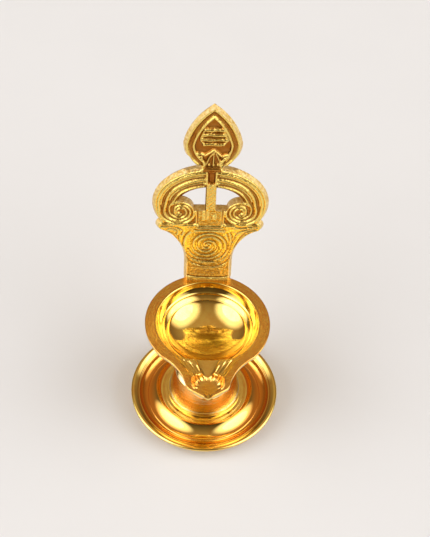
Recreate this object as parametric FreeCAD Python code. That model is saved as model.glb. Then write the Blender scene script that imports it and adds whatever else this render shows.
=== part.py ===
import FreeCAD
import Part
import math
import os

# Brass oil lamp in millimetres. +Z is up, the spout points to -Y and the crest stands at +Y.
# The origin is on the ground, on the axis that the saucer, the foot, the stem and the bowl share.

# Clearances and cuts
screw_clearance = 0.15
rivet_clearance = 0.05
cut_overrun = 1.0

# Base saucer
saucer_radius = 25.0
saucer_height = 5.5
saucer_lip_width = 1.2
saucer_lip_thickness = 0.9
saucer_wall = 1.3
saucer_band_width = 3.0
saucer_line_depth = 0.25
saucer_line_width = 0.5
channel_radius = 19.4
channel_floor_height = 2.4
step_radius = 14.8
step_height = 5.8
step_edge_height = 0.6
seat_radius = 12.5
seat_rise = 1.0
seat_margin = 0.5
hub_thickness = 1.6
foot_ring_radius = 20.4
foot_ring_width = 2.6
foot_ring_height = 1.1

# Foot drum
drum_height = 11.8
drum_crown_height = 1.6
drum_shoulder_radius = 9.9
drum_ring_height = 0.7
drum_ring_proud = 0.3
drum_wall = 1.5
drum_top_thickness = 1.8

# Stem between the drum and the bowl
stem_height = 8.2
stem_seat_radius = 5.4
stem_waist_radius = 3.9
stem_knop_radius = 6.6
stem_seat_thickness = 0.7
stem_knop_height = 2.2

# Oil bowl: the boss reaches from the stem up to the basin's lowest point
boss_height = 6.2
boss_radius = 5.0
boss_thread_margin = 1.1
bowl_depth = 9.5
bowl_wall = 1.5
flange_radius = 20.3
flange_width = 3.7
flange_thickness = 1.2
pan_width = 1.8
pan_depth = 3.4
basin_step_width = 1.5
basin_step_depth = 1.6

# Spout of the bowl: lengths run from the flange's round edge through flank, neck and shoulder to the tip
spout_root_half_width = 14.8
spout_flank_half_width = 8.8
spout_flank_setback = 0.2
spout_neck_half_width = 7.1
spout_neck_length = 3.7
spout_shoulder_half_width = 6.0
spout_shoulder_length = 2.5
spout_tip_length = 3.7
trough_root_half_width = 12.6
trough_end_half_width = 5.0
trough_end_setback = 1.1
trough_floor_depth = 2.4
trough_floor_root_half_width = 4.6
trough_floor_end_half_width = 1.8
trough_wall = 1.3
wick_pocket_radius = 5.6
wick_pocket_margin = 1.5
wick_pocket_rise = 1.0

# Lug at the back of the bowl, under the crest
lug_side_margin = 0.9
lug_back_margin = 0.5
lug_thickness = 2.6
lug_root_length = 2.5

# Crest plate: widths are across, heights run up its leaning front face
crest_foot_setback = 2.3
crest_lean_degrees = 5.0
crest_thickness = 3.6
crest_draft = 1.1
neck_half_width = 6.8
neck_height = 8.0
bracket_height = 14.2
wing_half_width = 16.3
wing_thickness = 3.0
arch_half_width = 17.4
arch_half_height = 14.4
arch_middle_rise = 7.6
arch_width = 6.9
collar_half_width = 3.1
collar_sink = 0.2
collar_thickness = 1.3
collar_bead_radius = 0.9
finial_half_width = 8.05
finial_length = 22.5
post_half_width = 1.65
volute_inset = 7.8
volute_drop = 3.4
volute_radius = 4.6
sill_drop = 2.5
plaque_half_width = 3.9
plaque_length = 6.9
relief_depth = 0.7
recess_depth = 1.1

# Relief on the crest
arch_groove_inset = 2.85
arch_groove_half_width = 0.45
arch_line_inset = 5.65
arch_line_half_width = 0.45
arch_groove_degrees = (8, 28, 48, 66, 82, 98)
arch_line_degrees = (14, 32, 50, 66, 80, 92)
volute_groove_degrees = (-30, -420)
volute_line_degrees = (-20, -120)
volute_groove_steps = 10
volute_line_steps = 2
keystone_half_width = 0.9
keystone_margin = 1.2
keystone_length = 4.6
spiral_drop = 8.0
spiral_radius = 5.5
spiral_pitch = 1.6
spiral_half_width = 0.4
swag_half_width = 7.0
swag_drop = 8.2
swag_groove_half_width = 0.4
plaque_margin = 0.4
slot_width = 0.8
slot_length = 4.2
notch_length = 1.6
bar_heights = (8.5, 10.2, 12.1, 13.9)
bar_half_lengths = (3.1, 3.9, 3.6, 2.8)
bar_thickness = 1.2
bar_rise = 0.6
crown_height = 1.3
crown_half_width = 3.9
crown_rise = 5.4

# Fasteners
screw_radius = 1.5
screw_head_radius = 2.8
screw_head_height = 1.9
screw_slot_width = 0.7
screw_slot_depth = 0.8
screw_tip_gap = 0.4
washer_radius = 4.0
washer_thickness = 0.7
rivet_radius = 0.8
rivet_head_radius = 1.5
rivet_head_height = 0.9
rivet_across = 4.2
rivet_grip = 3.4

# Shares of the sizes above that place the points of curved outlines
arch_steps = 6
bracket_shares = [(0.09, 0.37), (0.38, 0.72), (0.63, 0.90), (0.90, 1.0)]
finial_shares = [(0.58, 0.05), (0.84, 0.17), (1.0, 0.40), (0.646, 0.736), (0.0, 1.0)]
finial_centre_share = 0.42
finial_ridge_share = 0.80
finial_groove_share = 0.90
finial_floor_share = 0.64
finial_dip_share = 0.05
collar_draft_share = 0.3
crown_shares = [(-1.0, 0.62), (-0.5, 0.66), (0.0, 1.0), (0.5, 0.66), (1.0, 0.62), (0.72, 0.0), (-0.72, 0.0)]
swag_shares = [(-1.05, 0.50), (-1.05, 0.0), (-0.88, -0.55), (-0.5, -0.9), (0.0, -1.0), (0.5, -0.9), (0.85, -0.5),
               (1.0, 0.1), (1.2, 0.55), (1.6, 0.9), (2.1, 1.03)]
volute_turn_share = 0.42
volute_turn_end_share = 0.30

# Places worked out from the sizes
seat_height = step_height + seat_rise
drum_radius = seat_radius - seat_margin - drum_ring_proud
stem_base = seat_height + drum_height
boss_base = stem_base + stem_height
basin_low = boss_base + boss_height
flange_height = basin_low + bowl_depth
mouth_radius = flange_radius - flange_width
pan_line_radius = mouth_radius - pan_width
basin_radius = pan_line_radius - basin_step_width
basin_depth = bowl_depth - pan_depth - basin_step_depth
basin_sphere_radius = (basin_radius ** 2 + basin_depth ** 2) / (2 * basin_depth)
basin_centre_height = basin_low + basin_sphere_radius
boss_top = basin_low - boss_thread_margin
spout_flank_reach = flange_radius - spout_flank_setback
spout_neck_reach = flange_radius + spout_neck_length
spout_shoulder_reach = spout_neck_reach + spout_shoulder_length
spout_reach = spout_shoulder_reach + spout_tip_length
wick_pocket_reach = spout_reach - wick_pocket_margin - wick_pocket_radius
trough_root_reach = math.sqrt(mouth_radius ** 2 - trough_root_half_width ** 2)
trough_end_reach = wick_pocket_reach - trough_end_setback
crest_foot_reach = flange_radius - crest_foot_setback
crest_middle_reach = crest_foot_reach + crest_thickness / 2
lug_half_width = neck_half_width + lug_side_margin
lug_reach = crest_foot_reach + crest_thickness + lug_back_margin
wing_height = neck_height + bracket_height
wing_top = wing_height + wing_thickness
arch_middle_height = wing_top + arch_middle_rise
collar_height = arch_middle_height + arch_half_height - collar_sink
finial_base = collar_height + collar_thickness
volute_across = arch_half_width - volute_inset
volute_height = arch_middle_height - volute_drop
plaque_height = arch_middle_height - sill_drop
plaque_foot = plaque_height - plaque_length
spiral_height = plaque_foot - spiral_drop
screw_hole_radius = screw_radius + screw_clearance
washer_height = seat_height - hub_thickness - washer_thickness


def side(radius, height):
    """A point of a turned profile."""
    return FreeCAD.Vector(radius, 0, height)


def plan(height):
    """A function that puts plan points at a height."""
    return lambda across, along: FreeCAD.Vector(across, along, height)


def face_point(depth):
    """A function that puts points of the crest's face at a depth below it."""
    return lambda across, up: FreeCAD.Vector(across, depth, up)


def edges_along(place, start, steps):
    """Edges from a start point: a point is the end of a line, a pair is the middle and end of an arc."""
    edges = []
    here = start
    for step in steps:
        if isinstance(step[0], tuple):
            middle, there = step
            edges.append(Part.Arc(place(*here), place(*middle), place(*there)).toShape())
        else:
            there = step
            edges.append(Part.makeLine(place(*here), place(*there)))
        here = there
    return edges


def closed_face(place, start, steps):
    """A face inside an outline, which a straight line closes unless it already ends at its start."""
    steps = list(steps)
    if start not in steps[-1]:
        steps.append(start)
    return Part.Face(Part.Wire(edges_along(place, start, steps)))


def turned(start, steps):
    """A solid of revolution about the lamp's axis."""
    axis = FreeCAD.Vector(0, 0, 1)
    return closed_face(side, start, steps).revolve(FreeCAD.Vector(), axis, 360)


def disc(radius, low, high, across=0, along=0):
    """An upright cylinder between two heights."""
    return Part.makeCylinder(radius, high - low, FreeCAD.Vector(across, along, low))


def block(low, high):
    """A box between two corners."""
    size = [b - a for a, b in zip(low, high)]
    return Part.makeBox(*size, FreeCAD.Vector(*low))


def curve_steps(points):
    """Arc steps through a list of points, two points to each arc."""
    return [(points[i], points[i + 1]) for i in range(0, len(points), 2)]


def shifted(points, distance):
    """The points of an open curve, moved to its right-hand side with mitred corners."""
    headings = [math.atan2(b[1] - a[1], b[0] - a[0]) for a, b in zip(points, points[1:])]
    headings = [headings[0]] + headings + [headings[-1]]
    moved = []
    for (x, y), before, after in zip(points, headings, headings[1:]):
        half_turn = math.remainder(after - before, math.tau) / 2
        heading = before + half_turn
        reach = distance / math.cos(half_turn)
        moved.append((x + reach * math.sin(heading), y - reach * math.cos(heading)))
    return moved


def mirrored(points):
    """The same points on the other side of the lamp's middle plane, in reverse order."""
    return [(-x, y) for x, y in reversed(points)]


def sphere_point(radius, share):
    """A point of the basin's section, by its share of the angle from the lowest point to the rim."""
    rim_angle = math.asin(basin_radius / basin_sphere_radius)
    angle = rim_angle * share
    return radius * math.sin(angle), basin_centre_height - radius * math.cos(angle)


def base_saucer():
    """The round drip saucer that the lamp stands on."""
    underside = channel_floor_height - saucer_wall
    inner_slope_top = step_height - step_edge_height
    band_radius = saucer_radius - saucer_band_width
    band_height = saucer_height - saucer_lip_width
    slope_middle = ((channel_radius + step_radius) / 2, channel_floor_height + saucer_wall / 2)
    rise_middle = ((channel_radius + band_radius) / 2, channel_floor_height + saucer_wall / 3)
    foot_inner = foot_ring_radius - foot_ring_width
    body = turned(
        (screw_hole_radius, seat_height),
        [(seat_radius, seat_height), (seat_radius, step_height), (step_radius, step_height),
         (step_radius, inner_slope_top), (slope_middle, (channel_radius, channel_floor_height)),
         (rise_middle, (band_radius, band_height)), (saucer_radius - saucer_lip_width, saucer_height),
         (saucer_radius, saucer_height), (saucer_radius, saucer_height - saucer_lip_thickness),
         (band_radius + saucer_wall, band_height - saucer_wall), (foot_ring_radius, foot_ring_height),
         (foot_ring_radius, 0), (foot_inner, 0), (foot_inner, underside),
         (step_radius - saucer_wall, inner_slope_top - saucer_wall),
         (seat_radius - saucer_wall, seat_height - hub_thickness),
         (screw_hole_radius, seat_height - hub_thickness)])
    turned_lines = ((band_radius + saucer_line_width, band_height + saucer_line_width),
                    (step_radius - 2 * saucer_line_width, step_height))
    for line_radius, height in turned_lines:
        low = height - saucer_line_depth
        high = height + saucer_line_width
        outer = disc(line_radius + saucer_line_width / 2, low, high)
        body = body.cut(outer.cut(disc(line_radius - saucer_line_width / 2, low, high)))
    return body


def foot_drum():
    """The hollow tapered drum that stands on the saucer."""
    low = seat_height
    shoulder = stem_base - drum_crown_height
    inside_top = stem_base - drum_top_thickness
    proud_radius = drum_radius + drum_ring_proud
    shoulder_middle = ((drum_shoulder_radius + stem_seat_radius) / 2 + drum_ring_height,
                       (shoulder + stem_base) / 2 + drum_ring_height / 2)
    return turned(
        (drum_radius - drum_wall, low),
        [(proud_radius, low), (proud_radius, low + drum_ring_height), (drum_radius, low + drum_ring_height),
         (drum_shoulder_radius, shoulder), (shoulder_middle, (stem_seat_radius, stem_base)),
         (screw_hole_radius, stem_base), (screw_hole_radius, inside_top),
         (stem_seat_radius, inside_top), (drum_shoulder_radius - drum_wall, shoulder - drum_top_thickness)])


def stem_knop():
    """The short turned stem with a round knop."""
    knop_middle = boss_base - stem_height / 2
    low_waist = knop_middle - stem_knop_height / 2
    high_waist = knop_middle + stem_knop_height / 2
    return turned(
        (screw_hole_radius, stem_base),
        [(stem_seat_radius, stem_base), (stem_seat_radius, stem_base + stem_seat_thickness),
         (stem_waist_radius, low_waist), ((stem_knop_radius, knop_middle), (stem_waist_radius, high_waist)),
         (boss_radius, boss_base - stem_seat_thickness), (boss_radius, boss_base),
         (screw_hole_radius, boss_base)])


def basin_space():
    """The space inside the bowl: a sloping pan above a round basin."""
    top = flange_height
    return turned(
        (0, basin_low),
        [(sphere_point(basin_sphere_radius, 0.5), sphere_point(basin_sphere_radius, 1.0)),
         (pan_line_radius, top - pan_depth), (mouth_radius, top), (mouth_radius, top + cut_overrun),
         (0, top + cut_overrun)])


def bowl_shell():
    """The outside of the round bowl, with its boss, as a full body."""
    under = flange_height - flange_thickness
    outer_radius = basin_sphere_radius + bowl_wall
    rim_radius, rim_height = sphere_point(outer_radius, 1.0)
    boss_share = math.asin(boss_radius / outer_radius) / math.asin(basin_radius / basin_sphere_radius)
    boss_edge = sphere_point(outer_radius, boss_share)
    middle = sphere_point(outer_radius, (1.0 + boss_share) / 2)
    return turned(
        (0, boss_base),
        [(boss_radius, boss_base), boss_edge, (middle, (rim_radius, rim_height)),
         (mouth_radius + bowl_wall, under), (mouth_radius + bowl_wall, flange_height), (0, flange_height)])


def shoulder_swell():
    """How far the spout's shoulder swells outside the line from its neck to its corner."""
    return (spout_neck_half_width - spout_shoulder_half_width) / 4


def flange_outline(place):
    """The flat flange's outline: round, with the spout in front and a lug at the back."""
    lug_corner = math.sqrt(flange_radius ** 2 - lug_half_width ** 2)
    root_reach = math.sqrt(flange_radius ** 2 - spout_root_half_width ** 2)
    shoulder_middle = ((spout_neck_half_width + spout_shoulder_half_width) / 2 + shoulder_swell(),
                       -(spout_neck_reach + spout_shoulder_reach) / 2)
    right = [((flange_radius, 0), (spout_root_half_width, -root_reach)),
             ((spout_flank_half_width, -spout_flank_reach), (spout_neck_half_width, -spout_neck_reach)),
             (shoulder_middle, (spout_shoulder_half_width, -spout_shoulder_reach)), (0, -spout_reach)]
    left = [(-spout_shoulder_half_width, -spout_shoulder_reach),
            ((-shoulder_middle[0], shoulder_middle[1]), (-spout_neck_half_width, -spout_neck_reach)),
            ((-spout_flank_half_width, -spout_flank_reach), (-spout_root_half_width, -root_reach)),
            ((-flange_radius, 0), (-lug_half_width, lug_corner))]
    lug = [(-lug_half_width, lug_reach), (lug_half_width, lug_reach)]
    return closed_face(place, (lug_half_width, lug_corner), right + left + lug)


def trough(grow, low, high):
    """The spout's tapering trough, grown by a wall, between two heights."""
    floor_half_end = trough_floor_end_half_width + grow
    floor_root_reach = trough_root_reach - trough_wall
    rings = []
    for height, root_half, root_reach, end_half in (
            (high, trough_root_half_width + grow, trough_root_reach, trough_end_half_width + grow),
            (low, trough_floor_root_half_width + grow, floor_root_reach, floor_half_end)):
        end_reach = trough_end_reach + grow
        steps = [(end_half, -end_reach), ((0, -end_reach - grow - shoulder_swell()), (-end_half, -end_reach)),
                 (-root_half, -root_reach), (root_half, -root_reach)]
        rings.append(Part.Wire(edges_along(plan(height), (root_half, -root_reach), steps)))
    return Part.makeLoft(rings, True, True)


def wick_pocket(grow):
    """The round pocket near the tip, where the wick rests."""
    centre = FreeCAD.Vector(0, -wick_pocket_reach, flange_height + wick_pocket_rise)
    return Part.makeSphere(wick_pocket_radius + grow, centre)


def oil_bowl():
    """The bowl with its flange, its spout and the lug that carries the crest."""
    top = flange_height
    under = top - flange_thickness
    plate = flange_outline(plan(under)).extrude(FreeCAD.Vector(0, 0, flange_thickness))
    prism_low = top - trough_floor_depth - 2 * trough_wall - wick_pocket_radius
    prism = flange_outline(plan(prism_low)).extrude(FreeCAD.Vector(0, 0, under - prism_low))
    keel = trough(trough_wall, top - trough_floor_depth - trough_wall, under)
    keel = keel.fuse(wick_pocket(trough_wall).common(prism))
    lug_root = crest_foot_reach - lug_root_length
    lug_pad = block((-lug_half_width, lug_root, top - lug_thickness), (lug_half_width, lug_reach, under))
    body = bowl_shell().fuse([plate, keel, lug_pad])
    body = body.cut([basin_space(), trough(0, top - trough_floor_depth, top + cut_overrun), wick_pocket(0)])
    body = body.cut(disc(screw_radius, boss_base - cut_overrun, boss_top))
    for across in (-rivet_across, rivet_across):
        hole_radius = rivet_radius + rivet_clearance
        low = top - lug_thickness - cut_overrun
        body = body.cut(disc(hole_radius, low, top + cut_overrun, across, crest_middle_reach))
    return body.removeSplitter()


def on_arch(degrees, inset):
    """A point of the arch, by its angle from the top and its distance inside the outer edge."""
    angle = math.radians(degrees)
    return ((arch_half_width - inset) * math.sin(angle),
            arch_middle_height + (arch_half_height - inset) * math.cos(angle))


def arch_degrees(height, inset):
    """The angle at which the arch's curve reaches a height."""
    return math.degrees(math.acos((height - arch_middle_height) / (arch_half_height - inset)))


def finial_half():
    """The right half of the leaf-shaped finial, from its collar to its tip."""
    return [(finial_half_width * a, finial_base + finial_length * b) for a, b in finial_shares]


def crest_half():
    """The right half of the crest's outline, from the foot up to the tip."""
    wide = wing_half_width - neck_half_width
    bracket = [(neck_half_width + wide * a, neck_height + bracket_height * b) for a, b in bracket_shares]
    foot_degrees = arch_degrees(wing_top, 0)
    waist_width = collar_half_width + collar_thickness
    waist_degrees = math.degrees(math.asin(waist_width / arch_half_width))
    step_degrees = (waist_degrees - foot_degrees) / arch_steps
    turns = [foot_degrees + step_degrees * i for i in range(arch_steps + 1)]
    arch = [on_arch(degrees, 0) for degrees in turns]
    waist = [(collar_half_width, collar_height + collar_thickness / 2)]
    wing = [(wing_half_width, wing_height + wing_thickness / 2)]
    foot = [(neck_half_width, -crest_thickness), (neck_half_width, neck_height / 2), (neck_half_width, neck_height)]
    return foot + bracket + wing + arch + waist + finial_half()


def crest_wire(grow, depth):
    """The crest's outline at a depth below its front face, grown outwards but less so about the narrow collar."""
    half = crest_half()
    outline = half + mirrored(half)[1:]
    low = collar_height - collar_thickness
    high = collar_height + 4 * collar_thickness
    points = []
    for (x, y), full, held in zip(outline, shifted(outline, grow), shifted(outline, grow * collar_draft_share)):
        points.append(held if low < y < high else full)
    place = face_point(depth)
    edges = edges_along(place, points[0], [points[2]] + curve_steps(points[3:-2]) + [points[-1]])
    edges.append(Part.makeLine(place(*points[-1]), place(*points[0])))
    return Part.Wire(edges)


def cut_prism(face, depth):
    """A face on the crest's front, pushed in to a depth, with the overrun in front."""
    face = face.translated(FreeCAD.Vector(0, -cut_overrun, 0))
    return face.extrude(FreeCAD.Vector(0, depth + cut_overrun, 0))


def band(points, half_width, depth=relief_depth):
    """A groove along an open curve with an odd number of points."""
    right = shifted(points, half_width)
    left = shifted(points, -half_width)[::-1]
    steps = curve_steps(right[1:]) + [left[0]] + curve_steps(left[1:])
    return cut_prism(closed_face(face_point(0), right[0], steps), depth)


def panel(points, depth):
    """A recess with straight sides."""
    return cut_prism(closed_face(face_point(0), points[0], points[1:]), depth)


def rectangle(left, right, low, high):
    """The corners of an upright rectangle on the crest's face."""
    return [(left, low), (right, low), (right, high), (left, high)]


def spiral_points(centre, radii, degrees, steps):
    """Points of a spiral between two radii and two angles."""
    points = []
    for i in range(steps + 1):
        share = i / steps
        radius = radii[0] + (radii[1] - radii[0]) * share
        angle = math.radians(degrees[0] + (degrees[1] - degrees[0]) * share)
        points.append((centre[0] + radius * math.cos(angle), centre[1] + radius * math.sin(angle)))
    return points


def window_cutters():
    """The two openings between the arch, the volutes and the post."""
    through = crest_thickness + 2 * cut_overrun
    into = FreeCAD.Vector(0, through, 0)
    inner_width = arch_half_width - arch_width
    inner_height = arch_half_height - arch_width
    centre = FreeCAD.Vector(0, -cut_overrun, arch_middle_height)
    wide_end = centre + FreeCAD.Vector(inner_width, 0, 0)
    high_end = centre + FreeCAD.Vector(0, 0, inner_height)
    opening = Part.Face(Part.Wire(Part.Ellipse(wide_end, high_end, centre).toShape())).extrude(into)
    floor = block((-inner_width, -cut_overrun, 0), (inner_width, through, plaque_height))
    post = block((-post_half_width, -cut_overrun, 0), (post_half_width, through, collar_height))
    cutters = [floor, post]
    for across in (-volute_across, volute_across):
        place = FreeCAD.Vector(across, -cut_overrun, volute_height)
        cutters.append(Part.makeCylinder(volute_radius, through, place, FreeCAD.Vector(0, 1, 0)))
    lower = block((-inner_width, -cut_overrun, plaque_height), (inner_width, through, arch_middle_height))
    return opening.fuse(lower).cut(cutters)


def arch_grooves():
    """The wide groove between the arch's two ribs and the thin line inside them, curling into the volutes."""
    cutters = []
    turn = volute_radius * volute_turn_share
    turn_end = volute_radius * volute_turn_end_share
    centre = (volute_across, volute_height)
    outer = volute_radius - arch_groove_half_width
    wide = [on_arch(degrees, arch_groove_inset) for degrees in arch_groove_degrees]
    wide += spiral_points(centre, (outer, turn), volute_groove_degrees, volute_groove_steps)
    thin = [on_arch(degrees, arch_line_inset) for degrees in arch_line_degrees]
    thin += spiral_points(centre, (turn, turn_end), volute_line_degrees, volute_line_steps)
    for points, half_width in ((wide, arch_groove_half_width), (thin, arch_line_half_width)):
        cutters += [band(points, half_width), band(mirrored(points), half_width)]
    return cutters


def finial_outline(share):
    """The finial's outline drawn in towards its middle."""
    half = finial_half()
    middle = finial_base + finial_length * finial_centre_share
    full = [(x * share, middle + (y - middle) * share) for x, y in half + mirrored(half)[1:]]
    dip = (0, full[0][1] - finial_length * finial_dip_share)
    return closed_face(face_point(0), full[0], curve_steps(full[1:]) + [(dip, full[0])])


def finial_cutters():
    """The finial's groove and its sunk floor, with a ridge left between them."""
    groove = cut_prism(finial_outline(finial_groove_share), relief_depth)
    groove = groove.cut(cut_prism(finial_outline(finial_ridge_share), relief_depth + cut_overrun))
    return [groove, cut_prism(finial_outline(finial_floor_share), recess_depth)]


def finial_ornament():
    """Four raised bars above a crown with three points."""
    pieces = []
    floor = recess_depth
    for height, half_length in zip(bar_heights, bar_half_lengths):
        low = finial_base + height
        pieces.append(block((-half_length, floor - bar_rise, low), (half_length, floor + bar_rise, low + bar_thickness)))
    crown_low = finial_base + crown_height
    points = [(crown_half_width * a, crown_low + crown_rise * b) for a, b in crown_shares]
    crown = closed_face(face_point(0), points[0], points[1:])
    pieces.append(crown.extrude(FreeCAD.Vector(0, floor + bar_rise, 0)))
    return pieces


def spiral_cutters():
    """The spiral below the plaque and the swag line that runs from it to the right wing."""
    turns = (spiral_radius - spiral_pitch / 2) / spiral_pitch
    steps = 2 * int(4 * turns)
    centre = (0, spiral_height)
    coil = spiral_points(centre, (spiral_pitch / 2, spiral_radius), (0, 360 * turns), steps)
    swag = [(swag_half_width * a, spiral_height + swag_drop * b) for a, b in swag_shares]
    return [band(coil, spiral_half_width), band(swag, swag_groove_half_width)]


def plaque_cutters():
    """The sunk plaque with its slot and its notch at the foot of the post, and the keystone slot at its head."""
    frame = plaque_half_width - plaque_margin
    plaque = rectangle(-frame, frame, plaque_foot, plaque_height)
    keystone_top = collar_height - keystone_margin
    keystone = rectangle(-keystone_half_width, keystone_half_width, keystone_top - keystone_length, keystone_top)
    near = slot_width
    far = near + slot_width
    low = plaque_height - slot_length
    slot = rectangle(-far, -near, low, plaque_height)
    notch = rectangle(near, far, low, low + notch_length)
    deep = relief_depth + recess_depth
    return [panel(plaque, relief_depth), panel(keystone, recess_depth), panel(slot, deep), panel(notch, deep)]


def crest_plate():
    """The cast plate that stands on the flange: neck, brackets, arch with volutes, and finial."""
    wires = [crest_wire(0, 0), crest_wire(crest_draft, crest_thickness / 2), crest_wire(0, crest_thickness)]
    body = Part.makeLoft(wires, True, True)
    body = body.cut(window_cutters())
    body = body.cut(arch_grooves() + finial_cutters() + spiral_cutters() + plaque_cutters())
    bead_start = FreeCAD.Vector(-collar_half_width, 0, collar_height)
    bead = Part.makeCylinder(collar_bead_radius, 2 * collar_half_width, bead_start, FreeCAD.Vector(1, 0, 0))
    body = body.fuse(finial_ornament() + [bead])
    body.rotate(FreeCAD.Vector(), FreeCAD.Vector(1, 0, 0), -crest_lean_degrees)
    body.translate(FreeCAD.Vector(0, crest_foot_reach, flange_height))
    below = block((-2 * neck_half_width, 0, flange_height - 2 * crest_thickness),
                  (2 * neck_half_width, 2 * lug_reach, flange_height))
    body = body.cut(below)
    for across in (-rivet_across, rivet_across):
        hole = disc(rivet_radius, flange_height - cut_overrun, flange_height + rivet_grip, across, crest_middle_reach)
        body = body.cut(hole)
    return body.removeSplitter()


def crest_rivets():
    """Two rivets that hold the crest down on the lug."""
    low = flange_height - lug_thickness
    rivets = []
    for across in (-rivet_across, rivet_across):
        shank = disc(rivet_radius, low, flange_height + rivet_grip, across, crest_middle_reach)
        head = disc(rivet_head_radius, low - rivet_head_height, low, across, crest_middle_reach)
        head = head.makeFillet(rivet_head_height / 2, [head.Edges[2]])
        rivets.append(shank.fuse(head).removeSplitter())
    return Part.makeCompound(rivets)


def clamp_screw():
    """The long screw that draws the saucer, the drum and the stem up against the bowl."""
    head_top = washer_height
    head_low = head_top - screw_head_height
    head = disc(screw_head_radius, head_low, head_top)
    slot_half = screw_slot_width / 2
    slot = block((-screw_head_radius, -slot_half, head_low - cut_overrun),
                 (screw_head_radius, slot_half, head_low + screw_slot_depth))
    shank = disc(screw_radius, head_top, boss_top - screw_tip_gap)
    return head.cut(slot).fuse(shank).removeSplitter()


def clamp_washer():
    """The flat washer between the screw's head and the saucer."""
    high = washer_height + washer_thickness
    return disc(washer_radius, washer_height, high).cut(disc(screw_hole_radius, washer_height, high))


def main():
    os.makedirs("parts", exist_ok=True)
    pieces = {
        "base_saucer": base_saucer(),
        "foot_drum": foot_drum(),
        "stem_knop": stem_knop(),
        "oil_bowl": oil_bowl(),
        "crest_plate": crest_plate(),
        "crest_rivets": crest_rivets(),
        "clamp_screw": clamp_screw(),
        "clamp_washer": clamp_washer(),
    }
    for name, shape in pieces.items():
        shape.exportStep("parts/" + name + ".step")
        print(name, "solids", len(shape.Solids), "valid", shape.isValid(), "volume", round(shape.Volume, 1))


main()
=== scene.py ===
import cmath
import math

import bpy
import numpy as np
from mathutils import Matrix, Vector


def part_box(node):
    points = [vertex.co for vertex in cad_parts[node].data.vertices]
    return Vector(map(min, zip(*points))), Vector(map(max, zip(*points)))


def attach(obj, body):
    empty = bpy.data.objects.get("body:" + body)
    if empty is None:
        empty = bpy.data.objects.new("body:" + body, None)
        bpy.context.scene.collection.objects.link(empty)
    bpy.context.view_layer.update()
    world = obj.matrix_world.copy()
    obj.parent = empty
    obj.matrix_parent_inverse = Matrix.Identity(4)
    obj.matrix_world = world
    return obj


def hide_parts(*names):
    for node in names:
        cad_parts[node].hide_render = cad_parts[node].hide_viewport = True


bl_info = {
    "name": "Brass oil lamp",
    "version": (1, 0, 0),
    "blender": (4, 5, 0),
    "location": "3D View > Sidebar > Oil Lamp",
    "description": "Dresses a small brass oil lamp: saucer, drum foot, knopped stem, bowl and cast scroll crest",
    "category": "Add Mesh",
}

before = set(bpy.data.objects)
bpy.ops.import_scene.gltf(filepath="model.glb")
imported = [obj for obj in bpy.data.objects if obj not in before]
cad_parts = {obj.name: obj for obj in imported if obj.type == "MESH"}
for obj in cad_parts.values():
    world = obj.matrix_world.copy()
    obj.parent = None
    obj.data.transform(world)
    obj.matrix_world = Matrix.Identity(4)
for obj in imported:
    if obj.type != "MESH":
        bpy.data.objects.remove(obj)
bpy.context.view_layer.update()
MM = 0.001
MERGE = MM / 500
SAUCER_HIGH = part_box("base_saucer")[1]
DRUM_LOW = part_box("foot_drum")[0]
STEM_LOW, STEM_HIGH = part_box("stem_knop")
BOWL_LOW, BOWL_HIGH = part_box("oil_bowl")


def length(name, description, default):
    """A size in metres that the sidebar shows."""
    return bpy.props.FloatProperty(name=name, description=description, default=default, min=0.0, precision=5,
                                   subtype="DISTANCE", unit="LENGTH")


def colour(name, description, default):
    """A colour that the sidebar shows."""
    return bpy.props.FloatVectorProperty(name=name, description=description, default=default, size=3, min=0.0,
                                         max=1.0, subtype="COLOR")


def amount(name, description, default, high=1.0):
    """A plain number that the sidebar shows."""
    return bpy.props.FloatProperty(name=name, description=description, default=default, min=0.0, max=high)


class SaucerSizes(bpy.types.PropertyGroup):
    radius: length("Radius", "Outer radius of the saucer's lip", SAUCER_HIGH[0])
    lip_height: length("Lip height", "Height of the lip above the ground", 0.0055)
    lip_width: length("Lip width", "Width of the flat lip", 0.0012)
    band_radius: length("Band radius", "Where the band inside the lip meets the channel's outer slope", 0.022)
    channel_radius: length("Channel radius", "Radius of the channel's lowest ring", 0.0194)
    channel_height: length("Channel height", "Height of the channel's floor", 0.0024)
    step_radius: length("Step radius", "Outer radius of the raised step", 0.0148)
    step_height: length("Step height", "Height of the step", 0.0058)
    seat_radius: length("Seat radius", "Radius of the seat under the drum", 0.0125)
    seat_height: length("Seat height", "Height of the seat", DRUM_LOW[2])


class FootSizes(bpy.types.PropertyGroup):
    ring_radius: length("Ring radius", "Radius of the ring round the drum's lower edge", 0.012)
    ring_height: length("Ring height", "Height of that ring", 0.0007)
    drum_radius: length("Drum radius", "Radius of the drum just above its ring", 0.0117)
    shoulder_radius: length("Shoulder radius", "Radius where the drum's crown begins", 0.0099)
    crown_height: length("Crown height", "Height of the drum's rounded crown", 0.0016)
    stem_radius: length("Stem radius", "Radius of the stem's seat on the drum", 0.0054)
    waist_radius: length("Waist radius", "Radius of the stem beside its knop", 0.0039)
    knop_radius: length("Knop radius", "Radius of the stem's knop", 0.0066)


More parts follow.
